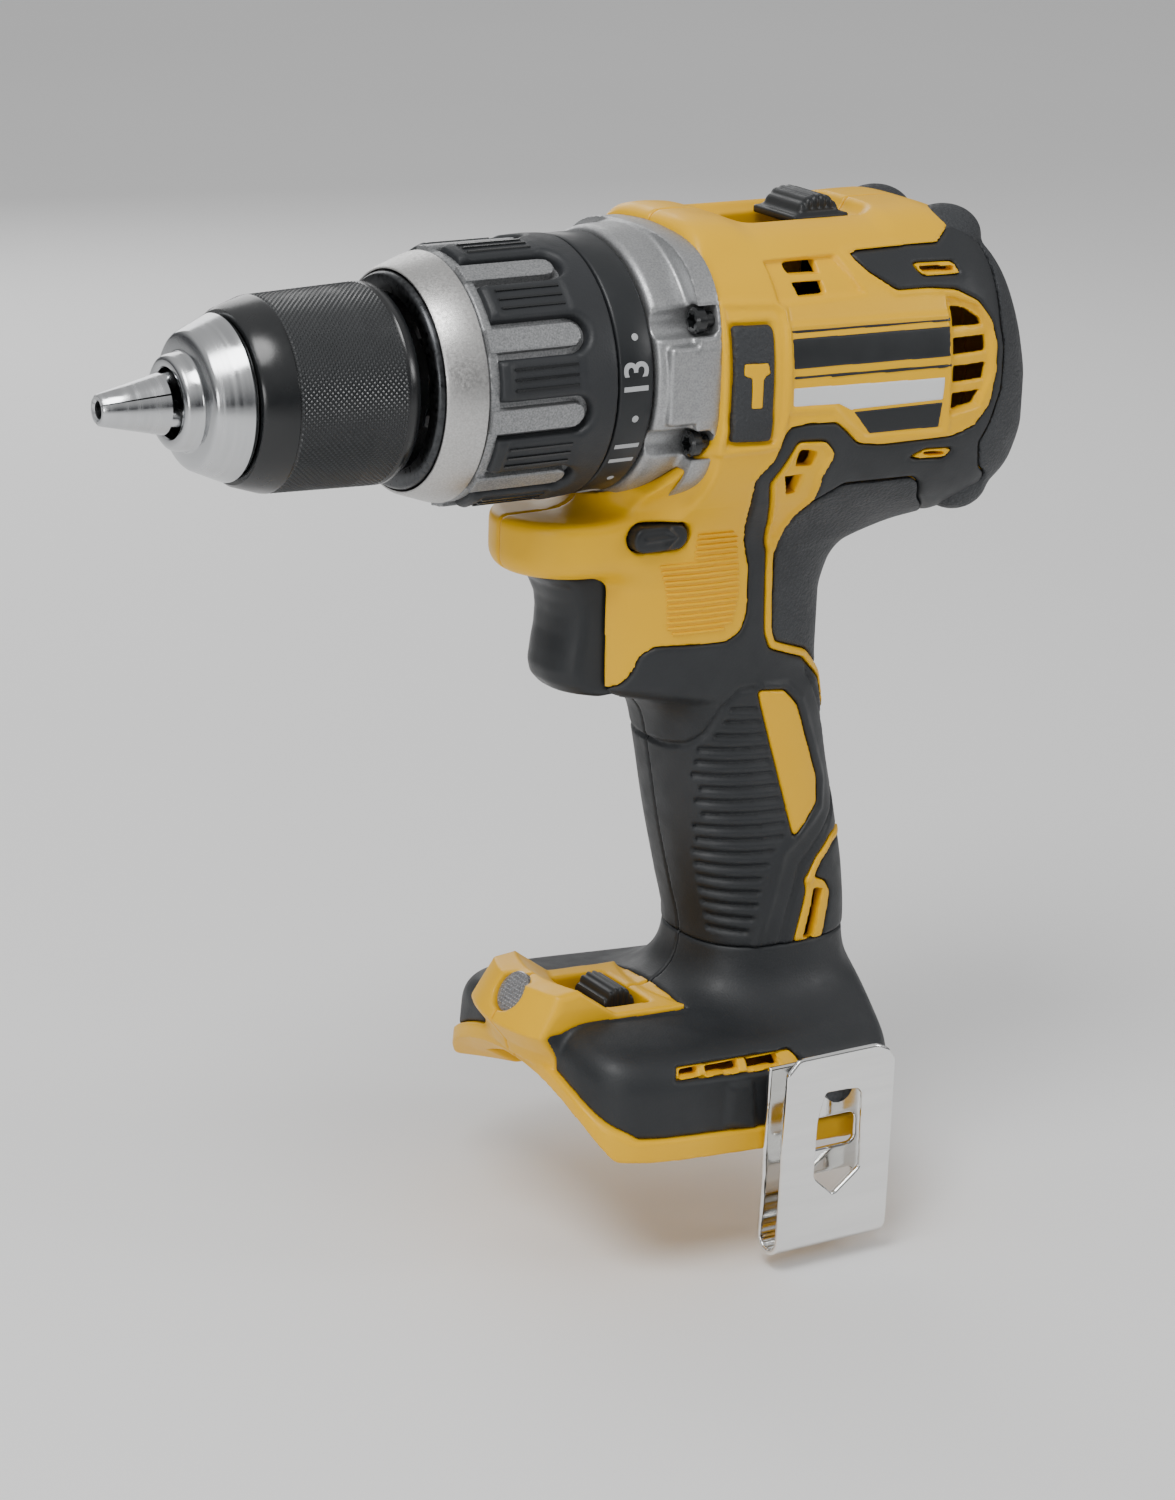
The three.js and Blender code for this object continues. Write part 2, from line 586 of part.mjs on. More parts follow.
const collarFrontRing = () => turned([
  [COLLAR.front, COLLAR.frontRadius - 1.4], [COLLAR.front, COLLAR.frontRadius],
  [-18.4, 23.6], [-12, 25.2], [COLLAR.ringRear, COLLAR.ringRadius], [COLLAR.ringRear, 19],
  [-12.4, 19], [-15, COLLAR.frontRadius - 1.4], [COLLAR.front, COLLAR.frontRadius - 1.4],
]);

const numberRing = () => ring(COLLAR.gripRear + GAP, COLLAR.rear, COLLAR.boreRadius, 27, ROUND);

// ---------------------------------------------------------------------------- motor

function motorShaft() {
  const pinion = outsideGear(GEARS.sunTeeth, STAGE_1.front + 0.4, 54, 0);
  return join(pinion, rod(53.8, MOTOR.shaftEnd, MOTOR.shaftRadius, 16));
}

function coolingFan() {
  const hub = ring(MOTOR.fanFront, MOTOR.fanRear, MOTOR.shaftRadius + GAP, 7);
  const disc = ring(MOTOR.fanRear - 1.4, MOTOR.fanRear, 6, MOTOR.fanRadius, 24);
  let body = join(hub, disc);
  for (let k = 0; k < 9; k += 1) {
    const blade = block(MOTOR.fanFront + 0.6, MOTOR.fanRear - 1, -0.7, 0.7, 9, MOTOR.fanRadius - 0.6);
    body = body.add(aboutBarrel(blade, (360 / 9) * k));
  }
  return body;
}

const rotor = () => ring(MOTOR.front - 1, MOTOR.rear + 1, MOTOR.shaftRadius + GAP, MOTOR.rotorRadius, 24);

function statorCore() {
  let body = ring(MOTOR.front, MOTOR.rear, 19, MOTOR.statorRadius, 24);
  for (let k = 0; k < 6; k += 1) {
    const stem = block(MOTOR.front, MOTOR.rear, -3, 3, 13.6, 20);
    const shoe = block(MOTOR.front, MOTOR.rear, -4.6, 4.6, 13.4, 14.4);
    body = body.add(aboutBarrel(join(stem, shoe), k * 60));
  }
  return body;
}

// One continuous winding: a block round each stator tooth, joined by a ring at the rear.
function statorWinding() {
  let body = ring(MOTOR.rear + 1.6, MOTOR.rear + 3.4, 15, 19.6, 24);
  for (let k = 0; k < 6; k += 1) {
    const coil = block(MOTOR.front - 3, MOTOR.rear + 3, -4.7, 4.7, 14.9, 18.2);
    const tooth = block(MOTOR.front - GAP, MOTOR.rear + GAP, -3.3, 3.3, 14, 20);
    body = body.add(aboutBarrel(coil.subtract(tooth), k * 60));
  }
  return body;
}

// ------------------------------------------------------------ trigger and electronics

function trigger() {
  const outline = [
    [16.2, -44.2], [18.4, -50], [18.8, -56], [17.8, -62], [18.6, -65.6], [23, -65.9],
    [33, -65.9], [33, -42], [17, -42],
  ];
  const face = sideOutline(outline, -TRIGGER.halfWidth, TRIGGER.halfWidth);
  const rounding = turnedUpright(17, 22.5, 14.5);
  const stem = block(32, 35.4, -3, 3, -58, -50);
  return join(face.intersect(rounding), stem);
}

// A vertical column with a bowed front, which rounds the trigger's corners in plan.
function turnedUpright(front, back, radius) {
  const column = new THREE.CylinderGeometry(radius, radius, 60, ROUND);
  column.rotateX(Math.PI / 2).translate(front - 1 + radius, 0, -54);
  return join(solid(column), block(back, 60, -20, 20, -84, -24));
}

const switchModule = () => block(44, 63, -9, 9, -64, -42);
const directionButton = () => ovalBar(BUTTON.halfLength, BUTTON.halfHeight, BUTTON.reach);

function speedSelector() {
  const { front, rear, halfWidth, floor, top } = SELECTOR;
  const plate = block(front, rear, -halfWidth, halfWidth, floor + GAP, 29.6);
  const knob = block(front + 1.5, rear - 1.5, -halfWidth + 1, halfWidth - 1, 29.4, top);
  return join(plate, knob);
}

function ledSwitch() {
  const { x, z, halfLength, halfWidth } = LED_SWITCH;
  return block(x - halfLength, x + halfLength, -halfWidth, halfWidth, z - 5.5, z + 1.5);
}

const lampLens = () => lampRod(1.2, 5, LAMP.radius);
const controlModule = () => inFootFrame(block(-6, 30, -20, 20, 15.6, 21));

// The terminal block carries the middle of the socket's roof as one plate, raised over the blades.
function terminalBlock() {
  const { front, bladeRecess, rear, halfWidth, thickness } = SEAT_PLATE;
  const plate = block(front, rear, -halfWidth, halfWidth, SOCKET.roof, SOCKET.roof + thickness);
  const overBlades = block(bladeRecess, rear + 1, -halfWidth - 1, halfWidth + 1,
    SOCKET.roof - 1, SOCKET.roof + 0.8);
  const contactHousing = block(15, rear, -20, 20, 1.5, SOCKET.roof + 1.2);
  return inFootFrame(join(cut(plate, overBlades), contactHousing));
}

function seatPlateOpening() {
  const { front, halfWidth } = SEAT_PLATE;
  return inFootFrame(block(front - GAP, SOCKET.rear, -halfWidth - GAP, halfWidth + GAP,
    SOCKET.roof - 1, SOCKET.roof + WALL + 1));
}

const terminalBlade = (y) => inFootFrame(block(3, 15 - GAP, y - 0.4, y + 0.4, 3, 9.5));

function motorLead() {
  const route = [[68, 0, -36], [67.5, 0, -60], [69, 0, -85], [73, 0, -110], [76, 0, -130], [76, 0, -142]];
  const path = new THREE.CatmullRomCurve3(route.map((p) => new THREE.Vector3(...p)));
  const section = new THREE.Shape();
  section.absarc(0, 0, 3, 0, 2 * Math.PI, false);
  const options = { extrudePath: path, steps: 14, curveSegments: 4, bevelEnabled: false };
  return solid(new THREE.ExtrudeGeometry(section, options));
}

// ------------------------------------------------------------------------- belt clip

function beltClip() {
  const { front, rear, sheet, innerY, outerY, bottom, top } = CLIP;
  const radius = (innerY - outerY) / 2;
  const middleY = (innerY + outerY) / 2;
  const bend = bottom + radius;
  const shape = new THREE.Shape();
  shape.moveTo(outerY, top);
  shape.lineTo(outerY, bend);
  shape.absarc(middleY, bend, radius, Math.PI, 2 * Math.PI, false);
  shape.lineTo(innerY, -150);
  shape.lineTo(innerY - sheet, -150);
  shape.lineTo(innerY - sheet, bend);
  shape.absarc(middleY, bend, radius - sheet, 2 * Math.PI, Math.PI, true);
  shape.lineTo(outerY + sheet, top);
  const options = { depth: rear - front, bevelEnabled: false, curveSegments: 8 };
  const geometry = new THREE.ExtrudeGeometry(shape, options);
  geometry.rotateX(Math.PI / 2).rotateZ(Math.PI / 2);
  geometry.computeBoundingBox();
  const strip = solid(geometry.translate(front - geometry.boundingBox.min.x, 0, 0));
  const window = sideOutline([[66, -156], [76, -156], [77, -170], [77, -176], [70.5, -182], [64, -176],
    [64, -170], [65, -162]], outerY - 1, outerY + sheet + 1);
  const legWindow = block(62, 80, innerY - sheet - 1, innerY + 1, -186, -166);
  const screwHole = crossRod(71, -156, innerY - 4, innerY + 1, 2.3, 12);
  const hookArm = block(front - 2, front + 0.5, outerY, innerY - 3, -160, top - 1);
  return join(cut(strip, window, legWindow, screwHole), hookArm);
}

function beltClipScrew() {
  const head = crossRod(71, -156, CLIP.innerY - 1.5 - 2, CLIP.innerY - 1.5 - GAP, 3.6, 16);
  const shank = crossRod(71, -156, CLIP.innerY - 2, CLIP.innerY + 1.2, 2, 16);
  return join(head, shank);
}

// -------------------------------------------------------------------------- assembly

const drill = new THREE.Group();
drill.name = 'cordless_drill';
const [seatX, seatZ] = footPoint(0, SOCKET.roof);
drill.position.set(-seatX, 0, -seatZ);

function place(name, manifold, look) {
  const mesh = new THREE.Mesh(geometryOf(manifold), new THREE.MeshStandardMaterial(look));
  mesh.name = name;
  drill.add(mesh);
}

place('housing_left', housingHalf(-1), YELLOW);
place('housing_right', housingHalf(1), YELLOW);
place('grip_left', gripHalf(-1), RUBBER);
place('grip_right', gripHalf(1), RUBBER);
place('rear_bumper', rearBumper(), RUBBER);
SCREW_POSTS.forEach((post, i) => place(`housing_screw_${i + 1}`, housingScrew(post), DARK_STEEL));

place('gear_case', gearCase(), SILVER);
GEAR_SCREWS.forEach((spot, i) => place(`gear_case_screw_${i + 1}`, gearCaseScrew(spot), DARK_STEEL));
place('front_bearing', ring(-7, 1, 8.3, 14.7), STEEL);
place('fixed_ratchet', ratchet(8.4, 11.6, 8.6, 14.7, 7.4, 8.6), STEEL);
place('clutch_spring', clutchSpring(), STEEL);
place('ring_gear_front', ringGear(STAGE_2.front, STAGE_2.rear), DARK_STEEL);
place('ring_gear_rear', ringGear(STAGE_1.front, STAGE_1.rear), DARK_STEEL);
place('gearbox_rear_plate', ring(56.4, 59.4, 6.4, 24, 24), BLACK);
place('motor_front_bearing', ring(55.6, 59.2, MOTOR.shaftRadius + GAP, 6.1), STEEL);
place('motor_rear_bearing', ring(107.6, 111.6, MOTOR.shaftRadius + GAP, 7.5), STEEL);
place('stator_core', statorCore(), DARK_STEEL);
place('stator_winding', statorWinding(), COPPER);
place('sensor_board', ring(100.6, 102, 13, 19.5), BOARD);

place('switch_module', switchModule(), BLACK);
place('control_module', controlModule(), BOARD);
place('motor_lead', motorLead(), RUBBER);
place('terminal_block', terminalBlock(), BLACK);
[-9, 9].forEach((y, i) => place(`terminal_blade_${i + 1}`, terminalBlade(y), BRASS));
place('lamp_lens', lampLens(), LENS);
place('belt_clip', beltClip(), CHROME);
place('belt_clip_screw', beltClipScrew(), DARK_STEEL);

place('chuck_body', chuckBody(), STEEL);
place('spindle', spindle(), STEEL);
place('chuck_screw', chuckScrew(), DARK_STEEL);
place('output_carrier', outputCarrier(), STEEL);
place('moving_ratchet', ratchet(2.4, 5.8, 8.3, 14, 5.6, 6.8), STEEL);
place('chuck_sleeve', chuckSleeve(), BLACK);
for (let k = 0; k < JAW.count; k += 1) place(`jaw_${k + 1}`, jaw(k), STEEL);

place('torque_collar', collarShell(), GREY);
place('collar_grip', collarPads(0), RUBBER);
place('collar_front_ring', collarFrontRing(), SILVER);
place('number_ring', numberRing(), GREY);

place('motor_shaft', motorShaft(), STEEL);
place('rotor', rotor(), DARK_STEEL);
place('cooling_fan', coolingFan(), BLACK);
place('middle_carrier', middleCarrier(), STEEL);
for (let k = 0; k < GEARS.planets; k += 1) {
  place(`front_planet_${k + 1}`, planet(STAGE_2, k), STEEL);
  place(`rear_planet_${k + 1}`, planet(STAGE_1, k), STEEL);
}

place('speed_selector', speedSelector(), BLACK);
place('trigger', trigger(), BLACK);
place('direction_button', directionButton(), BLACK);
place('led_switch', ledSwitch(), BLACK);

export default drill;
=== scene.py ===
"""Looks of a pistol-grip cordless hammer drill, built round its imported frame.

Shapes are drawn in millimetres in barrel coordinates: X runs along the spindle axis towards the
rear, Z is up, Y = 0 is the mirror plane and the chuck points to -X. in_row() turns them into the
metres of the frame. Moulded pieces are distance fields, sampled on a grid and skinned with quads;
turned, swept and wrapped pieces are meshed directly.
"""

import json
import math
from functools import reduce

import bmesh
import bpy
import numpy as np
import openvdb
from mathutils import Matrix, Vector


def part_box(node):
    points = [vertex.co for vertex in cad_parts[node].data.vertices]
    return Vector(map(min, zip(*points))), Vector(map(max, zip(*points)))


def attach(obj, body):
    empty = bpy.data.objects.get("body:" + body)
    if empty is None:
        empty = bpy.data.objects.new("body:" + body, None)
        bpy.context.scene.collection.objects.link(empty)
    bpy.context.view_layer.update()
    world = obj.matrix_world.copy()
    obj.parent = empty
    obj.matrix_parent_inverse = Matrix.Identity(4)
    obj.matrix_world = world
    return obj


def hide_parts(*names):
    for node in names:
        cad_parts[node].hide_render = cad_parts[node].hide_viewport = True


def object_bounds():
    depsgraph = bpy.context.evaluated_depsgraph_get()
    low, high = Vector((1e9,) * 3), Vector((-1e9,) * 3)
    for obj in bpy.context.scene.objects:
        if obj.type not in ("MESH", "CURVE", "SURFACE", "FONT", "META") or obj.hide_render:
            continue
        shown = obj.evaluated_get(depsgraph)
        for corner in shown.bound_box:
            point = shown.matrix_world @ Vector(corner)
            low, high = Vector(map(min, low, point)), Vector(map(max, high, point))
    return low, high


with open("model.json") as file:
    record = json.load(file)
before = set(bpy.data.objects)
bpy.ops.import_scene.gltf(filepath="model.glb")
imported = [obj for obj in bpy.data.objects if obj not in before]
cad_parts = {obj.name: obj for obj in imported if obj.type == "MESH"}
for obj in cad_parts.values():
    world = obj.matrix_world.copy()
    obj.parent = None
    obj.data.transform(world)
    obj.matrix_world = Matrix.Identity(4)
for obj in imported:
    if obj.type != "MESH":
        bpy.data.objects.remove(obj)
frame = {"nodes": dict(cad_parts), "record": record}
CAD_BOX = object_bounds()

MM = 0.001
SLEEVE_FRONT = -57.0  # front edge of the chuck sleeve in barrel coordinates
SLEEVE_LOW, SLEEVE_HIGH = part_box("chuck_sleeve")
ZERO = np.array([SLEEVE_LOW[0] / MM - SLEEVE_FRONT, 0.0, (SLEEVE_LOW[2] + SLEEVE_HIGH[2]) / 2 / MM])


def in_row(points):
    """Points in millimetres of barrel coordinates as metres in the frame."""
    return (np.asarray(points, dtype=np.float64) + ZERO) * MM


# ---- camera, floor and lights


def make_camera():
    lens, sensor = 96.0, 36.0
    place = Vector(in_row((-401.9, -693.5, 181.1)))
    right = Vector((0.85369, -0.51984, 0.03131))
    up = Vector((0.13609, 0.28071, 0.95010))
    back = right.cross(up)
    data = bpy.data.cameras.new("camera")
    data.lens, data.sensor_width, data.sensor_fit = lens, sensor, "AUTO"
    camera = bpy.data.objects.new("camera", data)
    bpy.context.scene.collection.objects.link(camera)
    rotation = Matrix((right, up, back)).transposed().to_4x4()
    camera.matrix_world = Matrix.Translation(place) @ rotation
    bpy.context.scene.camera = camera


def area_light(name, place, target, size, power):
    data = bpy.data.lights.new(name, "AREA")
    data.shape, data.size, data.energy = "DISK", size, power
    lamp = bpy.data.objects.new(name, data)
    direction = Vector(target) - Vector(place)
    lamp.location = place
    lamp.rotation_euler = direction.to_track_quat("-Z", "Y").to_euler()
    bpy.context.scene.collection.objects.link(lamp)


def make_lights():
    centre = (0.0, 0.0, 0.08)
    area_light("key_light", (-0.50, -0.30, 0.95), centre, 0.5, 7.0)
    area_light("side_light", (-0.95, -0.65, 0.30), centre, 0.35, 2.2)
    area_light("rear_light", (0.8, -0.6, 0.45), centre, 0.3, 2.0)
    area_light("far_light", (0.2, 1.0, 0.5), centre, 0.7, 3.0)
    world = bpy.data.worlds.new("studio")
    world.use_nodes = True
    nodes, links = world.node_tree.nodes, world.node_tree.links
    background = nodes["Background"]
    background.inputs["Strength"].default_value = 0.62
    direction = nodes.new("ShaderNodeTexCoord")
    split = nodes.new("ShaderNodeSeparateXYZ")
    ramp = nodes.new("ShaderNodeValToRGB")
    links.new(direction.outputs["Generated"], split.inputs[0])
    links.new(split.outputs["Z"], ramp.inputs["Fac"])
    links.new(ramp.outputs["Color"], background.inputs["Color"])
    ramp.color_ramp.elements[0].position = 0.05
    ramp.color_ramp.elements[0].color = (0.10, 0.10, 0.11, 1)
    ramp.color_ramp.elements[1].position = 0.55
    ramp.color_ramp.elements[1].color = (1.0, 1.0, 1.0, 1)
    bpy.context.scene.world = world


# ---- materials


class Finish:
    """A Principled material with its node tree at hand."""

    def __init__(self, name, colour, roughness, metallic=0.0):
        self.material = bpy.data.materials.new(name)
        self.material.use_nodes = True
        self.nodes = self.material.node_tree.nodes
        self.links = self.material.node_tree.links
        self.shader = self.nodes["Principled BSDF"]
        self.shader.inputs["Base Color"].default_value = (*colour, 1)
        self.shader.inputs["Roughness"].default_value = roughness
        self.shader.inputs["Metallic"].default_value = metallic
        coordinates = self.nodes.new("ShaderNodeTexCoord")
        self.place = coordinates.outputs["Object"]

    def noise(self, per_metre, detail=3.0, stretch=None):
        node = self.nodes.new("ShaderNodeTexNoise")
        node.inputs["Scale"].default_value = per_metre
        node.inputs["Detail"].default_value = detail
        source = self.place
        if stretch:
            mapping = self.nodes.new("ShaderNodeMapping")
            mapping.inputs["Scale"].default_value = stretch
            self.links.new(source, mapping.inputs["Vector"])
            source = mapping.outputs["Vector"]
        self.links.new(source, node.inputs["Vector"])
        return node.outputs["Fac"]

    def ramp(self, value, low, high):
        node = self.nodes.new("ShaderNodeMapRange")
        node.inputs["From Min"].default_value = 0.3
        node.inputs["From Max"].default_value = 0.7
        node.inputs["To Min"].default_value = low
        node.inputs["To Max"].default_value = high
        self.links.new(value, node.inputs["Value"])
        return node.outputs["Result"]

    def vary_roughness(self, value, low, high):
        self.links.new(self.ramp(value, low, high), self.shader.inputs["Roughness"])

    def vary_colour(self, value, first, second):
        node = self.nodes.new("ShaderNodeMix")
        node.data_type = "RGBA"
        colours = [socket for socket in node.inputs if socket.type == "RGBA"]
        colours[0].default_value = (*first, 1)
        colours[1].default_value = (*second, 1)
        self.links.new(self.ramp(value, 0.0, 1.0), node.inputs["Factor"])
        result = [socket for socket in node.outputs if socket.type == "RGBA"][0]
        self.links.new(result, self.shader.inputs["Base Color"])

    def bump(self, value, strength, distance_mm):
        node = self.nodes.new("ShaderNodeBump")
        node.inputs["Strength"].default_value = strength
        node.inputs["Distance"].default_value = distance_mm * MM
        self.links.new(value, node.inputs["Height"])
        self.links.new(node.outputs["Normal"], self.shader.inputs["Normal"])


def moulded(name, first, second, rough, grain_per_metre, grain_depth, specular=0.5):
    """Moulded plastic or rubber: two close colours, uneven gloss and a fine grain."""
    finish = Finish(name, first, rough)
    finish.vary_colour(finish.noise(35.0), first, second)
    finish.vary_roughness(finish.noise(220.0), rough - 0.06, rough + 0.06)
    finish.bump(finish.noise(grain_per_metre, 2.0), 1.0, grain_depth)
    finish.shader.inputs["Specular IOR Level"].default_value = specular
    return finish.material


def metal(name, first, second, rough, stretch, grain_per_metre=900.0, depth=0.01):
    """Worked metal: lines along the way it was turned or rolled, and uneven gloss."""
    finish = Finish(name, first, rough, 1.0)
    lines = finish.noise(grain_per_metre, 2.0, stretch)
    finish.vary_colour(lines, first, second)
    finish.vary_roughness(lines, max(rough - 0.07, 0.03), rough + 0.09)
    finish.bump(lines, 0.6, depth)
    return finish.material


def flecked(name, first, second, rough, metallic):
    """Plastic or paint with fine bright flecks."""
    finish = Finish(name, first, rough, metallic)
    finish.vary_colour(finish.noise(2600.0, 1.0), first, second)
    finish.vary_roughness(finish.noise(1500.0), rough - 0.1, rough + 0.1)
    finish.bump(finish.noise(2600.0, 2.0), 0.8, 0.02)
    return finish.material


# name, two colours, roughness, grains in a metre, grain depth in millimetres and specular level
MOULDED_LOOKS = {
    "yellow": ("yellow_plastic", (0.83, 0.44, 0.0), (0.85, 0.47, 0.0), 0.38, 900.0, 0.012, 0.35),
    "black": ("black_plastic", (0.012, 0.0135, 0.015), (0.018, 0.020, 0.022), 0.4, 1400.0, 0.015, 0.4),
    "rubber": ("soft_rubber", (0.017, 0.019, 0.021), (0.024, 0.026, 0.029), 0.5, 2100.0, 0.05, 0.4),
    "coarse": ("coarse_rubber", (0.026, 0.028, 0.031), (0.038, 0.041, 0.045), 0.55, 1300.0, 0.5, 0.4),
    "gloss": ("gloss_black", (0.010, 0.011, 0.012), (0.016, 0.017, 0.018), 0.24, 1600.0, 0.006),
    "knurl": ("knurled_black", (0.022, 0.024, 0.026), (0.034, 0.036, 0.038), 0.36, 1800.0, 0.01),
    "board": ("circuit_board", (0.01, 0.10, 0.045), (0.015, 0.14, 0.06), 0.4, 1200.0, 0.03),
    "white": ("white_print", (0.68, 0.69, 0.69), (0.74, 0.75, 0.75), 0.45, 900.0, 0.01),
    "print": ("grey_print", (0.40, 0.41, 0.42), (0.46, 0.47, 0.48), 0.5, 900.0, 0.01),
}
# name, two colours, roughness and metallic share
FLECKED_LOOKS = {
    "grey": ("grey_plastic", (0.19, 0.195, 0.20), (0.33, 0.335, 0.34), 0.45, 0.5),
    "silver": ("silver_metal", (0.30, 0.305, 0.31), (0.42, 0.425, 0.43), 0.42, 0.7),
    "satin": ("satin_silver", (0.44, 0.435, 0.425), (0.55, 0.545, 0.535), 0.38, 0.85),
    "lens": ("lamp_lens", (0.20, 0.20, 0.21), (0.42, 0.42, 0.43), 0.25, 0.6),
}
# name, two colours, roughness, how the worked lines are stretched, lines in a metre and their depth
METAL_LOOKS = {
    "steel": ("turned_steel", (0.50, 0.51, 0.52), (0.56, 0.57, 0.58), 0.19, (1.0, 0.06, 0.06), 900.0, 0.003),
    "dark_steel": ("dark_steel", (0.045, 0.047, 0.05), (0.08, 0.083, 0.087), 0.33, (1.0, 1.0, 1.0)),
    "chrome": ("chrome", (0.80, 0.80, 0.79), (0.86, 0.86, 0.85), 0.08, (0.1, 1.0, 1.0), 500.0, 0.002),
    "copper": ("copper", (0.62, 0.28, 0.14), (0.72, 0.34, 0.18), 0.33, (1.0, 0.1, 1.0)),
    "brass": ("brass", (0.66, 0.48, 0.18), (0.74, 0.55, 0.24), 0.3, (0.1, 1.0, 1.0)),
}


def make_materials():
    looks = {}
    for make, table in ((moulded, MOULDED_LOOKS), (flecked, FLECKED_LOOKS), (metal, METAL_LOOKS)):
        looks.update({key: make(*values) for key, values in table.items()})
    return looks


# ---- mesh making


def add_piece(name, points, faces, material, sharp=40.0):
    """A mesh object from points in millimetres and faces of any one size or a list."""
    mesh = bpy.data.meshes.new(name)
    points = in_row(points)
    if isinstance(faces, np.ndarray):
        count, corners = faces.shape
        mesh.vertices.add(len(points))
        mesh.vertices.foreach_set("co", points.ravel())
        mesh.loops.add(count * corners)
        mesh.loops.foreach_set("vertex_index", faces.astype(np.int32).ravel())
        mesh.polygons.add(count)
        mesh.polygons.foreach_set("loop_start", np.arange(0, count * corners, corners, dtype=np.int32))
        mesh.update(calc_edges=True)
    else:
        mesh.from_pydata([tuple(p) for p in points], [], faces)
        mesh.update()
    mesh.shade_smooth()
    mesh.set_sharp_from_angle(angle=math.radians(sharp))
    mesh.materials.append(material)
    piece = bpy.data.objects.new(name, mesh)
    bpy.context.scene.collection.objects.link(piece)
    return piece


def tidy_mesh(piece):
    """Merges doubled points and turns every face outwards."""
    shape = bmesh.new()
    shape.from_mesh(piece.data)
    bmesh.ops.remove_doubles(shape, verts=shape.verts, dist=1e-6)
    bmesh.ops.recalc_face_normals(shape, faces=shape.faces)
    shape.to_mesh(piece.data)
    shape.free()
    piece.data.set_sharp_from_angle(angle=math.radians(40.0))
    return piece


def finish_piece(piece, body, slot, *nodes):
    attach(piece, body)
    if nodes:
        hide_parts(*nodes)
    return piece


def joined_rings(rings, sides, start=0, closed=False):
    """Quads from each ring of points to the next, and from the last to the first where closed."""
    faces = []
    for i in range(rings if closed else rings - 1):
        near, far = start + i * sides, start + (i + 1) % rings * sides
        for k in range(sides):
            m = (k + 1) % sides
            faces.append((near + k, near + m, far + m, far + k))
    return faces


# ---- distance field tools


class Grid:
    """Sample points over a box, in millimetres of barrel coordinates."""

    def __init__(self, low, high, step):
        self.low, self.step = np.array(low, dtype=np.float64), step
        axes = [np.arange(a, b + step, step, dtype=np.float32) for a, b in zip(low, high)]
        self.x = axes[0][:, None, None]
        self.y = axes[1][None, :, None]
        self.z = axes[2][None, None, :]

    def skin(self, name, field, material, mirror=False, sharp=48.0):
        band = 3 * self.step
        volume = openvdb.FloatGrid(background=band)
        volume.copyFromArray(np.clip(field, -band, band).astype(np.float32))
        points, quads = volume.convertToQuads()
        points = self.low + points * self.step
        quads = np.asarray(quads, dtype=np.int64)
        if not faces_outwards(points, quads):
            quads = quads[:, ::-1]
        if mirror:
            points = points * (1, -1, 1)
            quads = quads[:, ::-1]
        return add_piece(name, points, np.ascontiguousarray(quads), material, sharp)


def sampled(low, high, step):
    grid = Grid(low, high, step)
    return grid, grid.x, grid.y, grid.z


def faces_outwards(points, quads):
    a, b, c, d = (points[quads[:, k]] for k in range(4))
    return np.einsum("ij,ij->i", a, np.cross(b - a, c - a) + np.cross(c - a, d - a)).sum() > 0


def curve(t, knots):
    """A smooth curve through [t, value] knots, level beyond the ends, without overshoot."""
    ts, vs = np.array(knots, dtype=np.float32).T
    slope = np.diff(vs) / np.diff(ts)
    tangent = np.concatenate([slope[:1], np.zeros(len(vs) - 2, np.float32), slope[-1:]])
    rising = slope[:-1] * slope[1:] > 0
    total = np.where(rising, slope[:-1] + slope[1:], 1)
    tangent[1:-1] = np.where(rising, 2 * slope[:-1] * slope[1:] / total, 0)
    t = np.clip(t, ts[0], ts[-1])
    i = np.clip(np.searchsorted(ts, t, side="right") - 1, 0, len(ts) - 2)
    span = ts[i + 1] - ts[i]
    s = (t - ts[i]) / span
    start = (2 * s**3 - 3 * s**2 + 1) * vs[i] + (s**3 - 2 * s**2 + s) * span * tangent[i]
    return start + (3 * s**2 - 2 * s**3) * vs[i + 1] + (s**3 - s**2) * span * tangent[i + 1]


def soft_min(a, b, k):
    h = np.clip(0.5 + 0.5 * (b - a) / k, 0, 1)
    return b + (a - b) * h - k * h * (1 - h)


def soft_max(a, b, k):
    return -soft_min(-a, -b, k)


def common(*fields):
    """What lies inside every one of the fields."""
    return reduce(np.maximum, fields)


def joined(*fields):
    """What lies inside any of the fields."""
    return reduce(np.minimum, fields)


def section(a, b, half_a, half_b, power):
    """A superellipse of the given half sizes, as an approximate distance."""
    q = ((np.abs(a) / half_a) ** power + (np.abs(b) / half_b) ** power) ** (1 / power)
    return (q - 1) * np.minimum(half_a, half_b)


def box_field(x, y, z, low, high, radius=0.0):
    """A box with rounded edges."""
    parts = []
    for value, a, b in zip((x, y, z), low, high):
        parts.append(np.abs(value - (a + b) / 2) - (b - a) / 2 + radius)
    outside = sum(np.maximum(part, 0) ** 2 for part in parts) ** 0.5
    return outside + np.minimum(common(*parts), 0) - radius


def outline_field(a, b, outline):
    """Distance to a closed outline in a plane, negative inside."""
    a, b = np.broadcast_arrays(np.asarray(a, np.float32), np.asarray(b, np.float32))
    nearest = np.full(a.shape, 1e9, np.float32)
    inside = np.zeros(a.shape, bool)
    for (a0, b0), (a1, b1) in zip(outline, outline[1:] + outline[:1]):
        da, db = a1 - a0, b1 - b0
        t = np.clip(((a - a0) * da + (b - b0) * db) / (da * da + db * db), 0, 1)
        nearest = np.minimum(nearest, (a - a0 - t * da) ** 2 + (b - b0 - t * db) ** 2)
        if db != 0:
            crosses = (b0 > b) != (b1 > b)
            inside ^= crosses & (a < a0 + (b - b0) / db * da)
    return np.where(inside, -1, 1) * np.sqrt(nearest)


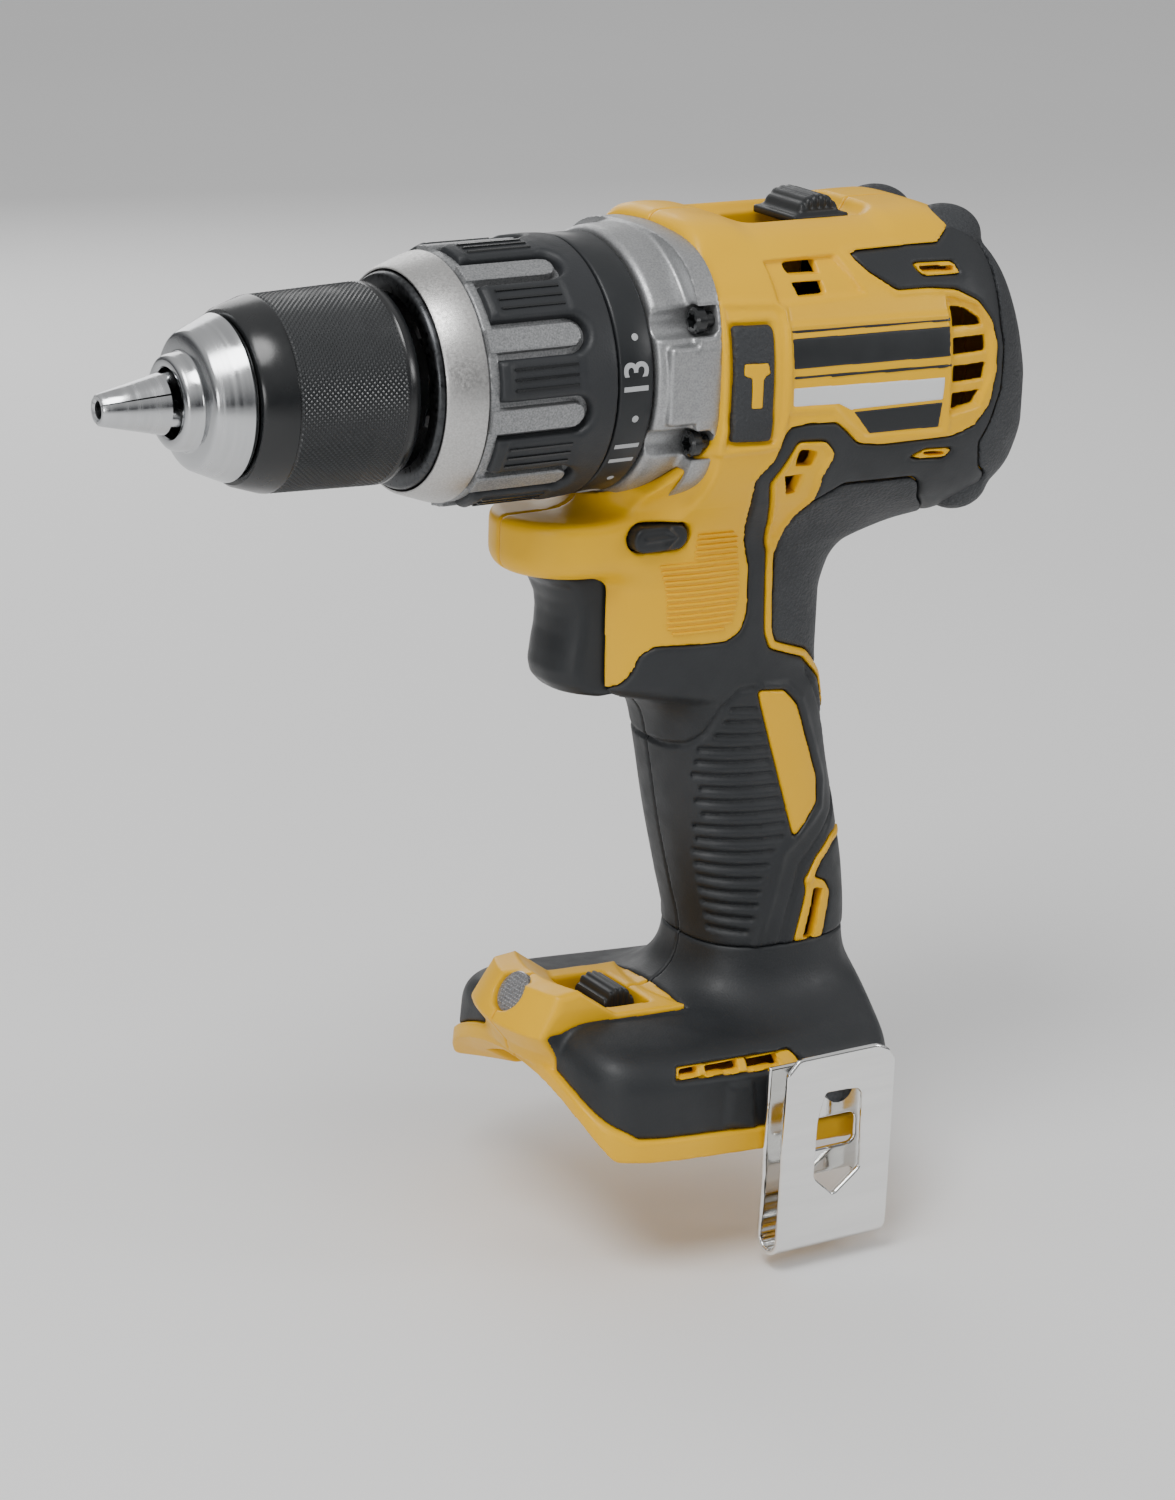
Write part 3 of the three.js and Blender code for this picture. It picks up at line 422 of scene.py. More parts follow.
def path_field(a, b, path):
    """Distance to an open path in a plane."""
    nearest = 1e9
    for (a0, b0), (a1, b1) in zip(path, path[1:]):
        da, db = a1 - a0, b1 - b0
        t = np.clip(((a - a0) * da + (b - b0) * db) / (da * da + db * db), 0, 1)
        nearest = np.minimum(nearest, (a - a0 - t * da) ** 2 + (b - b0 - t * db) ** 2)
    return np.sqrt(nearest)


def eased(field, steps):
    """Rounds the corners of a field in the side plane by averaging each sample with its neighbours."""
    for _ in range(steps):
        for axis in (0, 2):
            ahead, behind = np.roll(field, 1, axis), np.roll(field, -1, axis)
            field = (ahead + 2 * field + behind) / 4
    return field


# ---- body form

TILT = math.radians(4)
FOOT_X, FOOT_Z = 55.0, -168.2


def to_foot(x, z):
    c, s = math.cos(TILT), math.sin(TILT)
    return (x - FOOT_X) * c - (z - FOOT_Z) * s, (x - FOOT_X) * s + (z - FOOT_Z) * c


BARREL_REAR = [
    [-40, 100], [-37, 109], [-31, 120.5], [-24, 126.3], [-16, 128.6], [-8, 128.6], [0, 127.3],
    [10, 124], [20, 118], [26, 111.5], [30, 100],
]
BARREL_BULGE = [[0, 0], [15, 1.4], [22, 5], [27, 11], [31, 22], [34, 40]]
BARREL_TOP = [[20, 28.0], [60, 28.2], [106, 28.0], [120, 27]]
BARREL_BOTTOM = [[20, -29.5], [41, -31], [60, -33], [90, -36.5], [106, -38], [120, -38]]
BARREL_HALF = [[41, 30.6], [50, 31.4], [95, 31.6], [110, 31]]
RIDGE_TOP = [
    [40, 30.3], [46, 30.7], [51, 30.4], [57, 28.8], [86, 28.6], [91, 30], [100, 30.1], [107, 28.5], [113, 23],
]
HANDLE_FRONT = [
    [-150, 57], [-129, 55.2], [-119, 52.6], [-104, 48.8], [-86, 45.2], [-79, 43.5], [-74, 39.5],
    [-70.5, 27], [-68, 23.5], [-60, 23.2], [-46, 23.2], [-20, 26],
]
HANDLE_REAR = [
    [-150, 94], [-129, 94.3], [-119, 93.6], [-104, 90.8], [-90, 87.6], [-80, 86], [-66, 84.3],
    [-54, 84.3], [-47, 86.2], [-42.5, 90], [-39, 97], [-30, 104],
]
HANDLE_HALF = [[-150, 18], [-127, 17.6], [-104, 16.8], [-86, 16.8], [-66, 17.2], [-40, 18], [-28, 21]]
LAMP_HALF = 14.5
LAMP_CENTRE = (11.7, -137.4)
LAMP_FACE = math.radians(57)


def barrel_form(x, y, z):
    top, bottom, half = curve(x, BARREL_TOP), curve(x, BARREL_BOTTOM), curve(x, BARREL_HALF)
    middle = 0.42 * top + 0.58 * bottom
    reach = np.where(z > middle, top - middle, middle - bottom)
    tube = section(y, z - middle, half, reach, 2.7)
    rear = (x - curve(z, BARREL_REAR) + curve(np.abs(y), BARREL_BULGE)) * 0.75
    return soft_max(soft_max(tube, rear, 6), 41.2 - x, 1.0)


def ridge_form(x, y, z):
    """The raised band along the top that holds the speed selector."""
    centre = 12.0
    band = section(y, z - centre, 20.5, curve(x, RIDGE_TOP) - centre, 4.0)
    ends = soft_max(41.2 - x, (x - 110) * 0.7, 1.0)
    return soft_max(soft_max(band, ends, 2.0), centre - z, 1.0)


def handle_form(x, y, z):
    front, rear, half = curve(z, HANDLE_FRONT), curve(z, HANDLE_REAR), curve(z, HANDLE_HALF)
    tube = section(x - (front + rear) / 2, y, (rear - front) / 2, half, 2.5)
    return soft_max(soft_max(tube, z + 24, 1.5), -150 - z, 1.5)


def foot_form(x, y, z):
    u, v = to_foot(x, z)
    front, rear = -41.0, 38.8
    block = section(u - (front + rear) / 2, y, (rear - front) / 2, 37.2 - 0.02 * v, 5.5)
    top = v - 24.6 + 2.2 * (y / 27) ** 2
    return soft_max(soft_max(block, top, 8), -v, 0.8)


def boss_form(x, y, z):
    half, nose = 15.5, 6.6
    plan = np.where(x < nose + half, np.hypot(x - nose - half, y) - half, np.abs(y) - half)
    return soft_max(soft_max(soft_max(plan, z + 31, 2.5), -43.5 - z, 5), x - 45, 1)


def cradle_form(x, y, z):
    """The part of the housing that reaches forward under the gear case."""
    turn = np.hypot(y, z)
    front = 31.5 + 0.75 * np.maximum(z + 25, 0) - x
    shell = np.maximum(turn - 31.2, 27.9 - turn)
    shell = soft_max(soft_max(shell, front, 1.0), z + 10, 1.0)
    return np.maximum(shell, x - 52)


def lamp_form(x, y, z):
    """The lamp's nose and the frame behind it, round the lamp switch."""
    side = outline_field(x - 3.6 * (y / LAMP_HALF) ** 2, z + 0 * y, [
        (13, -135.4), (18.5, -134.9), (27, -141.4), (44.5, -142.4), (46, -150), (12.4, -152), (11.5, -149),
        (7.5, -143.9)])
    return soft_max(side, np.abs(y) - LAMP_HALF - 0.15 * np.maximum(-136 - z, 0), 1.6)


def outer_form(x, y, z):
    body = soft_min(barrel_form(x, y, z), ridge_form(x, y, z), 2.5)
    body = soft_min(body, handle_form(x, y, z), 9)
    body = soft_min(body, boss_form(x, y, z), 4)
    body = soft_min(body, cradle_form(x, y, z), 3)
    return soft_min(body, foot_form(x, y, z), 15)


# ---- outlines of regions

RUBBER_SIDE = [
    (114, 29.5), (106, 27), (103.5, 25.5), (99.9, 23.1), (90.3, 23.3), (76, 23), (79.5, 19.2), (85.5, 15.2),
    (93.7, 15.1), (100.6, 14.3), (106.5, 11.5), (110.4, 7), (111.9, 1.7), (111.5, -4.4), (109.7, -11),
    (105.5, -14.7), (99.3, -16.2), (81.1, -16.3), (74.8, -15.4), (72, -12.7), (69, -10.3), (62, -9.9),
    (57.3, -10.3), (55.7, -12.2), (54.7, -16.9), (51.3, -21.1), (52.9, -27.1), (57.8, -43.6), (58.1, -54.3),
    (56.7, -58), (53.4, -59.7), (36.5, -59.2), (33.4, -61), (31.9, -65.3), (29.8, -67.8), (16, -71),
    (30, -100), (30, -131.6), (150, -131.6), (150, 29.5),
]
COARSE_PATCH = [
    (64.2, -38), (65.5, -33.5), (68.4, -28.9), (74.1, -24.9), (91.4, -25), (93.6, -26.5), (95.8, -30.5),
    (104, -37), (104, -97), (90.2, -95.5), (88, -86.7), (85.6, -78.7), (84, -72.2), (76.2, -65.2),
    (66.4, -61.6), (65.1, -59),
]
BUMPER_SIDE = [
    (113.4, 40), (113.4, 6), (114.4, 1), (113.6, -8), (110.6, -15), (107.5, -19), (109, -24.5), (112, -26.5),
    (112, -60), (150, -60), (150, 40),
]
UPPER_VENT = [(91.2, 19.9), (101.8, 19.6), (103.2, 17.1), (93.2, 17.5)]
LOWER_VENT = [(88.1, -20.3), (92.7, -18.6), (100.5, -19.1), (97.6, -21)]
FRAMED_VENT = [
    (59.8, -13.9), (66.5, -14.3), (69.1, -17.2), (67.4, -21.9), (67.9, -27.7), (65.4, -32), (64.2, -40),
    (61.6, -39.5), (60.2, -33), (55.5, -22.7),
]
FRAMED_VENT_SLOTS = [
    [(60.6, -15.6), (65, -16.3), (64.3, -19.5), (60, -19.1)],
    [(58.5, -21.5), (62.6, -21.4), (62.5, -25.6), (60.7, -26.1)],
]
PIPING = [
    (62.8, -38), (64.2, -59), (65.6, -62.2), (75.8, -66), (83.2, -72.6), (84.8, -78.7), (87.1, -86.7),
    (89.8, -95.5),
]
LOWER_PIPING = [(92.4, -109.2), (85.6, -110), (80.8, -113.5), (78.2, -117.5)]
INSERT = [
    (76.8, -117), (78.2, -116.7), (82.9, -118.8), (84.5, -121.6), (81.5, -133.9), (75.6, -133.3),
    (74.5, -131.1), (77.5, -120),
]
INSERT_SLOT = [(79.5, -119.7), (82.1, -120.3), (79.4, -131.2), (76.8, -130.8)]
SIDE_VENT = [(98, 12.9), (99.7, 12.7), (106.4, 10.5), (110.2, 5), (109.9, -4.2), (106.6, -10.6), (98, -11.4)]
SIDE_VENT_SLOTS = [
    [(99.3, 10.9), (103, 10.3), (107.4, 7.6), (107.6, 6.4), (99.3, 6.6)],
    [(99.3, 4.4), (108.6, 4.0), (108.8, 0.8), (99.3, 0.9)],
    [(99.3, -1.5), (108.7, -1.6), (108.1, -5.0), (99.3, -5.0)],
    [(99.3, -7.4), (107, -7.5), (105.2, -10.0), (99.3, -10.8)],
]
TOP_RECESS = [(55.5, 22.4), (73.1, 22.5), (77.1, 15.4), (55.7, 15.2)]
TOP_SLOTS = [
    [(60.2, 22), (68.5, 21.9), (68, 19.5), (60.6, 19.8)],
    [(60.8, 18.2), (68, 18), (68.1, 15.6), (61.5, 15.6)],
]
PAD = [(43.5, 11.5), (52.6, 11.2), (53.1, 10), (52.7, -12.9), (43.1, -12.4)]
PAD_FRAME = [(41.5, 16), (54.3, 15.3), (56.4, 13.7), (55.9, -8.6), (54.1, -14.1), (41, -14.6)]
HAMMER = [
    (45.6, 3.9), (51.3, 3.7), (51.9, 1.4), (50.2, 0.8), (50.1, -5.7), (47.4, -5.5), (47.5, 0.8), (45.6, 1.4),
]
LABEL_FRAME = [
    (56.7, 10.4), (98.6, 9.6), (98.1, -2.2), (97.4, -15.2), (76, -14.6), (71.2, -10.6), (68, -7.4),
    (57, -6.8),
]
LABEL_BAND = [(57.2, 8.0), (97.6, 7.3), (97.5, 1.0), (57, 1.8)]
LABEL_LINES = [[(57, 9.4), (97.6, 8.7)], [(56.8, 0), (97.7, -0.9)]]
WHITE_PLATE = [
    (57.4, -2.1), (96.2, -3.3), (95.9, -8.5), (72.9, -8.4), (69.2, -6.5), (57.4, -6.1),
]
DARK_PLATE = [(72.9, -8.4), (95.9, -8.5), (95.1, -13.9), (77.3, -13.5)]
HANDLE_STRIP = [(62.2, -71.9), (69.2, -72.8), (73, -76.5), (79.9, -94.4), (80, -100.2), (73.7, -107.2)]
GRIP_SEAM = [(45.2, -84.6), (48.5, -83.6), (51.1, -80.9), (53.6, -74.8), (57.1, -71.2), (62.5, -71)]
GRIP_EDGE = [
    (62.5, -71), (70.4, -71.9), (74.2, -75.6), (82, -94.9), (81.2, -101.6), (70.9, -110.1), (68.9, -117.2),
    (65.1, -131.4),
]
REAR_SEAM = [
    (76.9, -69.5), (84.9, -84.8), (88.1, -98.1), (86.2, -104), (75.7, -113.4), (72.9, -122.6), (69.6, -135.2),
]
SIDE_GROOVES = [
    (56, 62.2), (55, 63.2), (53.3, 64), (50.6, 65.3), (50.5, 66), (50.3, 67), (51.9, 68.3), (51.5, 69.1),
    (52.9, 70.4), (52, 70.8), (52.8, 70.6), (52.4, 68.3), (53.4, 66.8), (53.6, 65.4), (54.2, 65.1),
    (54.8, 64.6), (55.3, 63.9), (55.8, 62.9),
]
GROOVE_TOP, GROOVE_PITCH = -75.5, -3.05
FOOT_SLOT = [(33.2, -149.9), (34.2, -147.7), (63.6, -149.2), (66, -152.6), (55.9, -151.7)]
FOOT_WINDOWS = [
    [(34.4, -149.5), (34.9, -148.2), (39.2, -148.4), (39.2, -149.9)],
    [(41.2, -150.1), (41.2, -148.5), (49.6, -148.9), (49.6, -150.8)],
    [(52, -151), (52, -149), (60, -149.4), (60, -151.6)],
]
FOOT_PAD = [(45.8, -153.1), (51.6, -153.3), (53, -164), (45.4, -161.6)]

WALL = 2.6
SKIN = 1.4
SEAM = 0.12
HALF_GAP = 0.1
MOTOR_BORE = 27.4
WINDOW_DEPTH = 6
YELLOW_EDGE = RUBBER_SIDE[4:26]  # the stretch of the rubber's outline that runs along the yellow faces


def stroke(x, z, path, width):
    return path_field(x, z, path) - width / 2


def raised(field, region, height, edge=0.9):
    """Lifts a surface by height inside a region, with a sloping edge; a negative height sinks it."""
    return field - height * np.clip(0.5 - region / edge, 0, 1)


def hollowed(field, region, outer, depth):
    """Cuts a region into a piece, down to a depth under the outer form."""
    return np.maximum(field, -np.maximum(region, -(outer + depth)))


def flange_top(x, y, z):
    """Negative above the yellow flange round the foot's lower edge."""
    v = to_foot(x, z)[1]
    front_line = -150.2 - 11.5 * (np.abs(y) / 36) ** 2.4 - z - 0.35 * np.maximum(x - 22, 0)
    return np.maximum(4.2 - v, front_line)


def foot_cover_region(x, y, z):
    lamp = common(np.abs(y) - 14.9, x - 48.2, -153 - z)
    return common(flange_top(x, y, z), z + 131.3, -lamp, -outline_field(x, z, FOOT_SLOT))


def rubber_region(x, z):
    return eased(outline_field(x, z, RUBBER_SIDE), 3)


def yellow_islands(x, z):
    """Places inside the rubber where the yellow housing shows through it."""
    islands = (UPPER_VENT, LOWER_VENT, FRAMED_VENT, INSERT, HANDLE_STRIP)
    regions = [outline_field(x, z, shape) for shape in islands]
    regions += [stroke(x, z, path, 1.7) for path in (PIPING, LOWER_PIPING)]
    return eased(np.minimum.reduce(regions), 2)


def selector_recess(x, y, z):
    """The trough in the top ridge and the slot through it."""
    trough = box_field(x, y, z, (56, -11, 26.3), (90, 11, 60), 4)
    slot = box_field(x, y, z, (63.2, -8.7, 15), (86.8, 8.7, 60), 2)
    return np.minimum(trough, slot)


def socket_cavity(x, y, z):
    """The space under the foot that the battery slides into."""
    u, v = to_foot(x, z)
    lower = box_field(u, y, v, (-60, -24.5, -20), (27, 24.5, 12), 0.3)
    upper = box_field(u, y, v, (-60, -29, 4), (27, 29, 12), 0.3)
    return np.maximum(np.minimum(lower, upper), 22 - x)


def lip_arch(x, y, z):
    """The space under the foot's arched front edge."""
    lip = z + 154 + 11.5 * (np.abs(y) / 36) ** 2.4 + 0.6 * np.maximum(x - 15, 0)
    return lip * 0.8


def lamp_plane(x, z):
    """Distances along the lamp's face, upwards, and into it."""
    c, s = math.cos(LAMP_FACE), math.sin(LAMP_FACE)
    x, z = x - LAMP_CENTRE[0], z - LAMP_CENTRE[1]
    return x * c + z * s, x * s - z * c


def button_pocket(x, y, z, margin):
    return np.hypot(np.maximum(np.abs(x - 35.6) - 3.6 - margin, 0), z + 34.9) - 3.1 - margin + 0 * y


def trigger_opening(x, y, z):
    return box_field(x, y, z, (0, -10.1, -71.6), (45, 10.1, -43.2), 1.5)


def yellow_form(x, z, outer):
    """The outer form with the relief that shows on the yellow faces."""
    relief = [
        (outline_field(x, z, TOP_RECESS), -0.9), (outline_field(x, z, SIDE_VENT), -1.3),
        (np.abs(outline_field(x, z, PAD_FRAME)) - 0.7, 0.55), (outline_field(x, z, PAD) - 0.5, -0.9),
        (np.abs(outline_field(x, z, LABEL_FRAME)) - 0.6, 0.4), (stroke(x, z, YELLOW_EDGE, 1.6), 0.3),
        (np.abs(outline_field(x, z, FRAMED_VENT)) - 0.9, 0.6), (stroke(x, z, PIPING, 1.6), 0.45),
        (stroke(x, z, LOWER_PIPING, 1.6), 0.45), (outline_field(x, z, FOOT_SLOT), -0.7),
        (outline_field(x, z, HANDLE_STRIP), 0.25), (outline_field(x, z, INSERT), 0.3),
    ]
    form = outer
    for region, height in relief:
        form = raised(form, region, height)
    return form


def window_regions(x, z):
    """Every opening in the yellow parts, with the two narrow vents drawn a little inside their outlines."""
    slots = FRAMED_VENT_SLOTS + SIDE_VENT_SLOTS + TOP_SLOTS + FOOT_WINDOWS + [INSERT_SLOT]
    narrow = [outline_field(x, z, shape) + 0.7 for shape in (UPPER_VENT, LOWER_VENT)]
    return np.minimum.reduce(narrow + [outline_field(x, z, shape) for shape in slots])


def make_housing(looks):
    grid, x, y, z = sampled((4, -1, -173), (132, 45, 34), 0.5)
    outer = outer_form(x, y, z)
    flange = np.clip(flange_top(x, y, z) / 0.8 + 0.5, 0, 1)
    outer = outer - 0.9 * flange * (z < -148)
    outer = soft_min(outer, lamp_form(x, y, z), 1.2)
    outer = soft_max(outer, -lip_arch(x, y, z), 0.6)
    outer = soft_max(outer, -selector_recess(x, y, z), 1.2)
    along, depth = lamp_plane(x, z)
    outer = soft_max(outer, -np.maximum(np.hypot(y, along) - 4.9, depth - 2.4), 0.8)
    switch_window = box_field(x, y, z, (28.6, -10, -150), (42.4, 10, -120), 1.2)
    outer = soft_max(outer, -switch_window, 0.8)
    behind_handle = 8.5 - np.abs(y) - np.where((z < -72) & (z > -110), 0, 50)
    islands = np.maximum(yellow_islands(x, z), behind_handle)
    rubber = common(rubber_region(x, z), -islands, -button_pocket(x, y, z, 1.2))
    cover = foot_cover_region(x, y, z)
    bumper = eased(outline_field(x, z, BUMPER_SIDE), 3)
    coarse = np.maximum(eased(outline_field(x, z, COARSE_PATCH), 2), -islands)
    windows = window_regions(x, z)

    shell = np.maximum(yellow_form(x, z, outer), -(outer + WALL))
    foot_block = common(outer + 0.4, to_foot(x, z)[1] - 14.6, 24 - x)
    shell = np.minimum(shell, foot_block)
    shell = common(shell, -socket_cavity(x, y, z))
    shell = hollowed(shell, joined(rubber, cover), outer, SKIN)
    shell = hollowed(shell, windows, outer, WINDOW_DEPTH)
    bore = common(np.hypot(y, z) - MOTOR_BORE, x - 48)
    shell = common(shell, -bore, -trigger_opening(x, y, z))
    shell = soft_max(shell, -np.maximum(button_pocket(x, y, z, 0.2), -20 + 0 * y), 0.6)
    both_sides("housing", grid, shell, looks["yellow"], "yellow_plastic", ("housing_left", "housing_right"))

    opening = joined(trigger_opening(x, y, z), windows + 0 * y)
    soft_part = common(rubber, -bumper, -coarse)
    skin = skin_field(outer, soft_part, 0.15, SKIN, grip_relief(outer, x, y, z))
    skin = np.maximum(skin, -opening)
    both_sides("grip", grid, skin, looks["rubber"], "soft_rubber", ("grip_left", "grip_right"))
    patch = common(skin_field(outer, common(coarse, rubber - 0.3), 0.1, SKIN), -opening)
    both_sides("grip_patch", grid, patch, looks["coarse"], "soft_rubber", ())
    rear = common(skin_field(outer, common(bumper, rubber), 0.5, SKIN), -opening)
    rear = soft_min(rear, common(rear_lobes(x, y, z), -(outer + 1.2)), 1.0)
    both_sides("rear_bumper", grid, rear, looks["coarse"], "soft_rubber", ("rear_bumper",))
    foot = foot_cover_form(outer, cover, x, z)
    both_sides("foot_cover", grid, np.maximum(foot, -(windows + 0 * y)), looks["rubber"], "black_plastic", ())


def rear_lobes(x, y, z):
    """Rounded corners that keep the rear of the housing off the bench."""
    upper = (np.hypot(np.hypot((x - 107) * 0.75, y - 12.5), z - 22.6) - 7.0) * 0.9
    lower = (np.hypot(np.hypot((x - 109) * 0.8, y - 19.5), z + 29.6) - 6.2) * 0.9
    return np.minimum(upper, lower)


def skin_field(outer, region, proud, depth, relief=None):
    """A layer of soft material laid into the housing over a region, with relief on its face."""
    face = outer if relief is None else relief
    return np.maximum(soft_max(region + SEAM, face - proud, 0.9), -(outer + depth - 0.1))


def grip_relief(skin, x, y, z):
    """Seams and finger grooves of the handle."""
    on_handle = (z < -66) & (x < 100)
    skin = np.where(on_handle, raised(skin, stroke(x, z, GRIP_SEAM, 0.9), -0.7), skin)
    skin = np.where(on_handle, raised(skin, stroke(x, z, GRIP_EDGE, 1.6), 0.5, 1.4), skin)
    skin = np.where(on_handle, raised(skin, stroke(x, z, REAR_SEAM, 0.9), -0.6), skin)
    rows = [
        stroke(x, z, [(a, GROOVE_TOP + GROOVE_PITCH * k), (b, GROOVE_TOP + GROOVE_PITCH * k - 0.6)], 1.1)
        for k, (a, b) in enumerate(SIDE_GROOVES)
    ]
    return np.where(on_handle & (np.abs(y) > 9), raised(skin, np.minimum.reduce(rows), -0.8, 0.8), skin)


def foot_cover_form(outer, region, x, z):
    form = raised(outer, outline_field(x, z, FOOT_PAD), 0.9, 1.6)
    return np.maximum(soft_max(region + SEAM, form, 0.9), -(outer + SKIN - 0.1))


def mirrored_pair(name, grid, field, material, slot):
    """The same piece on the right and, mirrored, on the left."""
    finish_piece(grid.skin(name + "_right", field, material), "root", slot)
    finish_piece(grid.skin(name + "_left", field, material, mirror=True), "root", slot)


SCREW_POCKETS = [(106.6, 19.5, 20), (76, -50, 9.5), (84, -113, 9.5)]


def both_sides(name, grid, field, material, slot, nodes):
    """A right piece, with the pockets of the housing's screws, and its mirror image without them."""
    field = np.maximum(field, HALF_GAP - grid.y)
    pockets = joined(*[
        common(np.hypot(grid.x - px, grid.z - pz) - 3.5, seat - 0.5 - grid.y)
        for px, pz, seat in SCREW_POCKETS
    ])
    right = grid.skin(name + "_right_half", soft_max(field, -pockets, 0.5), material)
    left = grid.skin(name + "_left_half", field, material, mirror=True)
    finish_piece(right, "root", slot, *nodes)
    finish_piece(left, "root", slot)


# ---- turned pieces


def lathe(name, profile, material, facets=128, sharp=30.0):
    """Turns a closed profile of (x, radius) points about the spindle axis."""
    angles = np.arange(facets) * 2 * math.pi / facets
    points = [(x, -r * math.cos(a), r * math.sin(a)) for x, r in profile for a in angles]
    faces = joined_rings(len(profile), facets, closed=True)
    return tidy_mesh(add_piece(name, points, np.array(faces), material, sharp))


def softened(profile, radius=0.35):
    """Replaces every corner of a closed profile by two points, so that it reads as a rounded edge."""
    points, count = [], len(profile)
    for k, (x, r) in enumerate(profile):
        for px, pr in (profile[k - 1], profile[(k + 1) % count]):
            length = math.hypot(px - x, pr - r)
            t = min(radius / max(length, 1e-6), 0.4)
            points.append((x + (px - x) * t, r + (pr - r) * t))
    return points


def make_chuck(looks):
    bore = [(-24.6, 14.4), (-42, 14.4), (-69.4, 7.0)]
    outside = [
        (-69.6, 8.6), (-68.9, 9.5), (-66.0, 9.9), (-65.9, 10.6), (-65.5, 13.1), (-64.9, 13.9), (-58.1, 16.9),
        (-57.8, 16.2), (-57.2, 16.2), (-57.2, 15.2), (-24.6, 15.8),
    ]
    nose = lathe("chuck_nose", softened(bore + outside, 0.3), looks["steel"], 160)
    finish_piece(nose, "chuck", "silver_metal", "chuck_body")
    front = [(-56.9, 16.0), (-56.9, 17.4), (-56.2, 18.0), (-50.9, 19.7), (-50.2, 19.8), (-49.9, 19.5)]
    rear = [(-26.2, 20.25), (-25.8, 20.55), (-24.6, 20.4), (-23.4, 19.6), (-23.1, 18.4), (-23.1, 16.4)]
    band = lathe("sleeve_core", front + rear, looks["gloss"], 160)
    finish_piece(band, "sleeve", "black_plastic", "chuck_sleeve")
    knurl = knurled_band("sleeve_knurl", -49.9, -26.2, 19.55, 20.3, looks["knurl"])
    finish_piece(knurl, "sleeve", "black_plastic")
    ring = [(-20.6, 18.2), (-20.6, 21.6), (-19.6, 22.2), (-18.4, 22.2), (-18.4, 18.2)]
    inner = lathe("collar_inner_ring", softened(ring, 0.3), looks["dark_steel"], 96)
    finish_piece(inner, "torque_dial", "steel")


def knurled_band(name, x0, x1, r0, r1, material):
    """Diamond knurling: crossed helical grooves that leave rows of small pyramids."""
    around, per_cell = 104, 4
    rows = int((x1 - x0) / (1.15 / per_cell)) + 1
    count = around * per_cell
    i, k = np.meshgrid(np.arange(rows), np.arange(count), indexing="ij")
    share = i / (rows - 1)
    first = np.abs(((i + k) / per_cell) % 1 - 0.5) * 2
    second = np.abs(((i - k) / per_cell) % 1 - 0.5) * 2
    height = 0.42 * np.minimum(first, second) * np.clip(np.minimum(i, rows - 1 - i) / 2, 0, 1)
    radius = r0 + (r1 - r0) * share - 0.1 + height
    angle = k * 2 * math.pi / count
    x = x0 + (x1 - x0) * share
    points = np.stack([x, -radius * np.cos(angle), radius * np.sin(angle)], -1).reshape(-1, 3)
    a, b = np.meshgrid(np.arange(rows - 1), np.arange(count), indexing="ij")
    n = (b + 1) % count
    faces = np.stack([a * count + b, a * count + n, (a + 1) * count + n, (a + 1) * count + b], -1)
    faces = faces.reshape(-1, 4)[:, ::-1]
    return add_piece(name, points, np.ascontiguousarray(faces), material, 12.0)


JAW_SLOPE = math.tan(math.radians(14))


def make_jaws(looks):
    """Three jaws that together form a cone with a hole through its tip, each on its own sliding bar."""
    rows = [(-84.4, 2.75, 2.2), (-84.0, 3.2, 1.8), (-78, 4.55, 1.8), (-71, 6.15, 1.8)]
    for k in range(3):
        middle = math.pi / 2 - k * 2 * math.pi / 3
        steps = np.linspace(-1, 1, 15) * (math.pi / 3 - 0.03)
        points, faces = [], []
        wide, tall = len(steps), len(rows)
        for layer in (1, 2):
            for row in rows:
                x, r = row[0], row[layer]
                points += [(x, -r * math.cos(middle + t), r * math.sin(middle + t)) for t in steps]
        base = wide * tall
        for i in range(tall - 1):
            for j in range(wide - 1):
                p = i * wide + j
                faces.append((p, p + 1, p + wide + 1, p + wide))
                faces.append((base + p, base + p + wide, base + p + wide + 1, base + p + 1))
            for p in (i * wide, i * wide + wide - 1):
                faces.append((p, p + wide, base + p + wide, base + p))
        for i in (0, tall - 1):
            for p in range(i * wide, i * wide + wide - 1):
                faces.append((p, p + 1, base + p + 1, base + p))
        add_jaw_bar(points, faces, middle)
        piece = tidy_mesh(add_piece(f"jaw_{k + 1}_cone", points, faces, looks["steel"], 30))
        finish_piece(piece, ("jaw_a", "jaw_b", "jaw_c")[k], "steel", f"jaw_{k + 1}")


def add_jaw_bar(points, faces, middle):
    """The round bar behind a jaw's tip, along the line it slides on."""
    sides, radius = 24, 1.9
    out = np.array([0, -math.cos(middle), math.sin(middle)])
    across = np.array([0, math.sin(middle), math.cos(middle)])
    start = len(points)
    for x in (-70.9, -65):
        centre = np.array([x, 0, 0]) + out * (0.6 + (x + 84.4) * JAW_SLOPE)
        for n in range(sides):
            t = n * 2 * math.pi / sides
            points.append(tuple(centre + radius * (out * math.cos(t) + across * math.sin(t))))
    faces += joined_rings(2, sides, start)
    faces.append(tuple(range(start, start + sides)))
    faces.append(tuple(range(start + sides, start + 2 * sides)))


PADS = 10
PAD_PITCH = 2 * math.pi / PADS
PAD_ANGLE = math.radians(9)


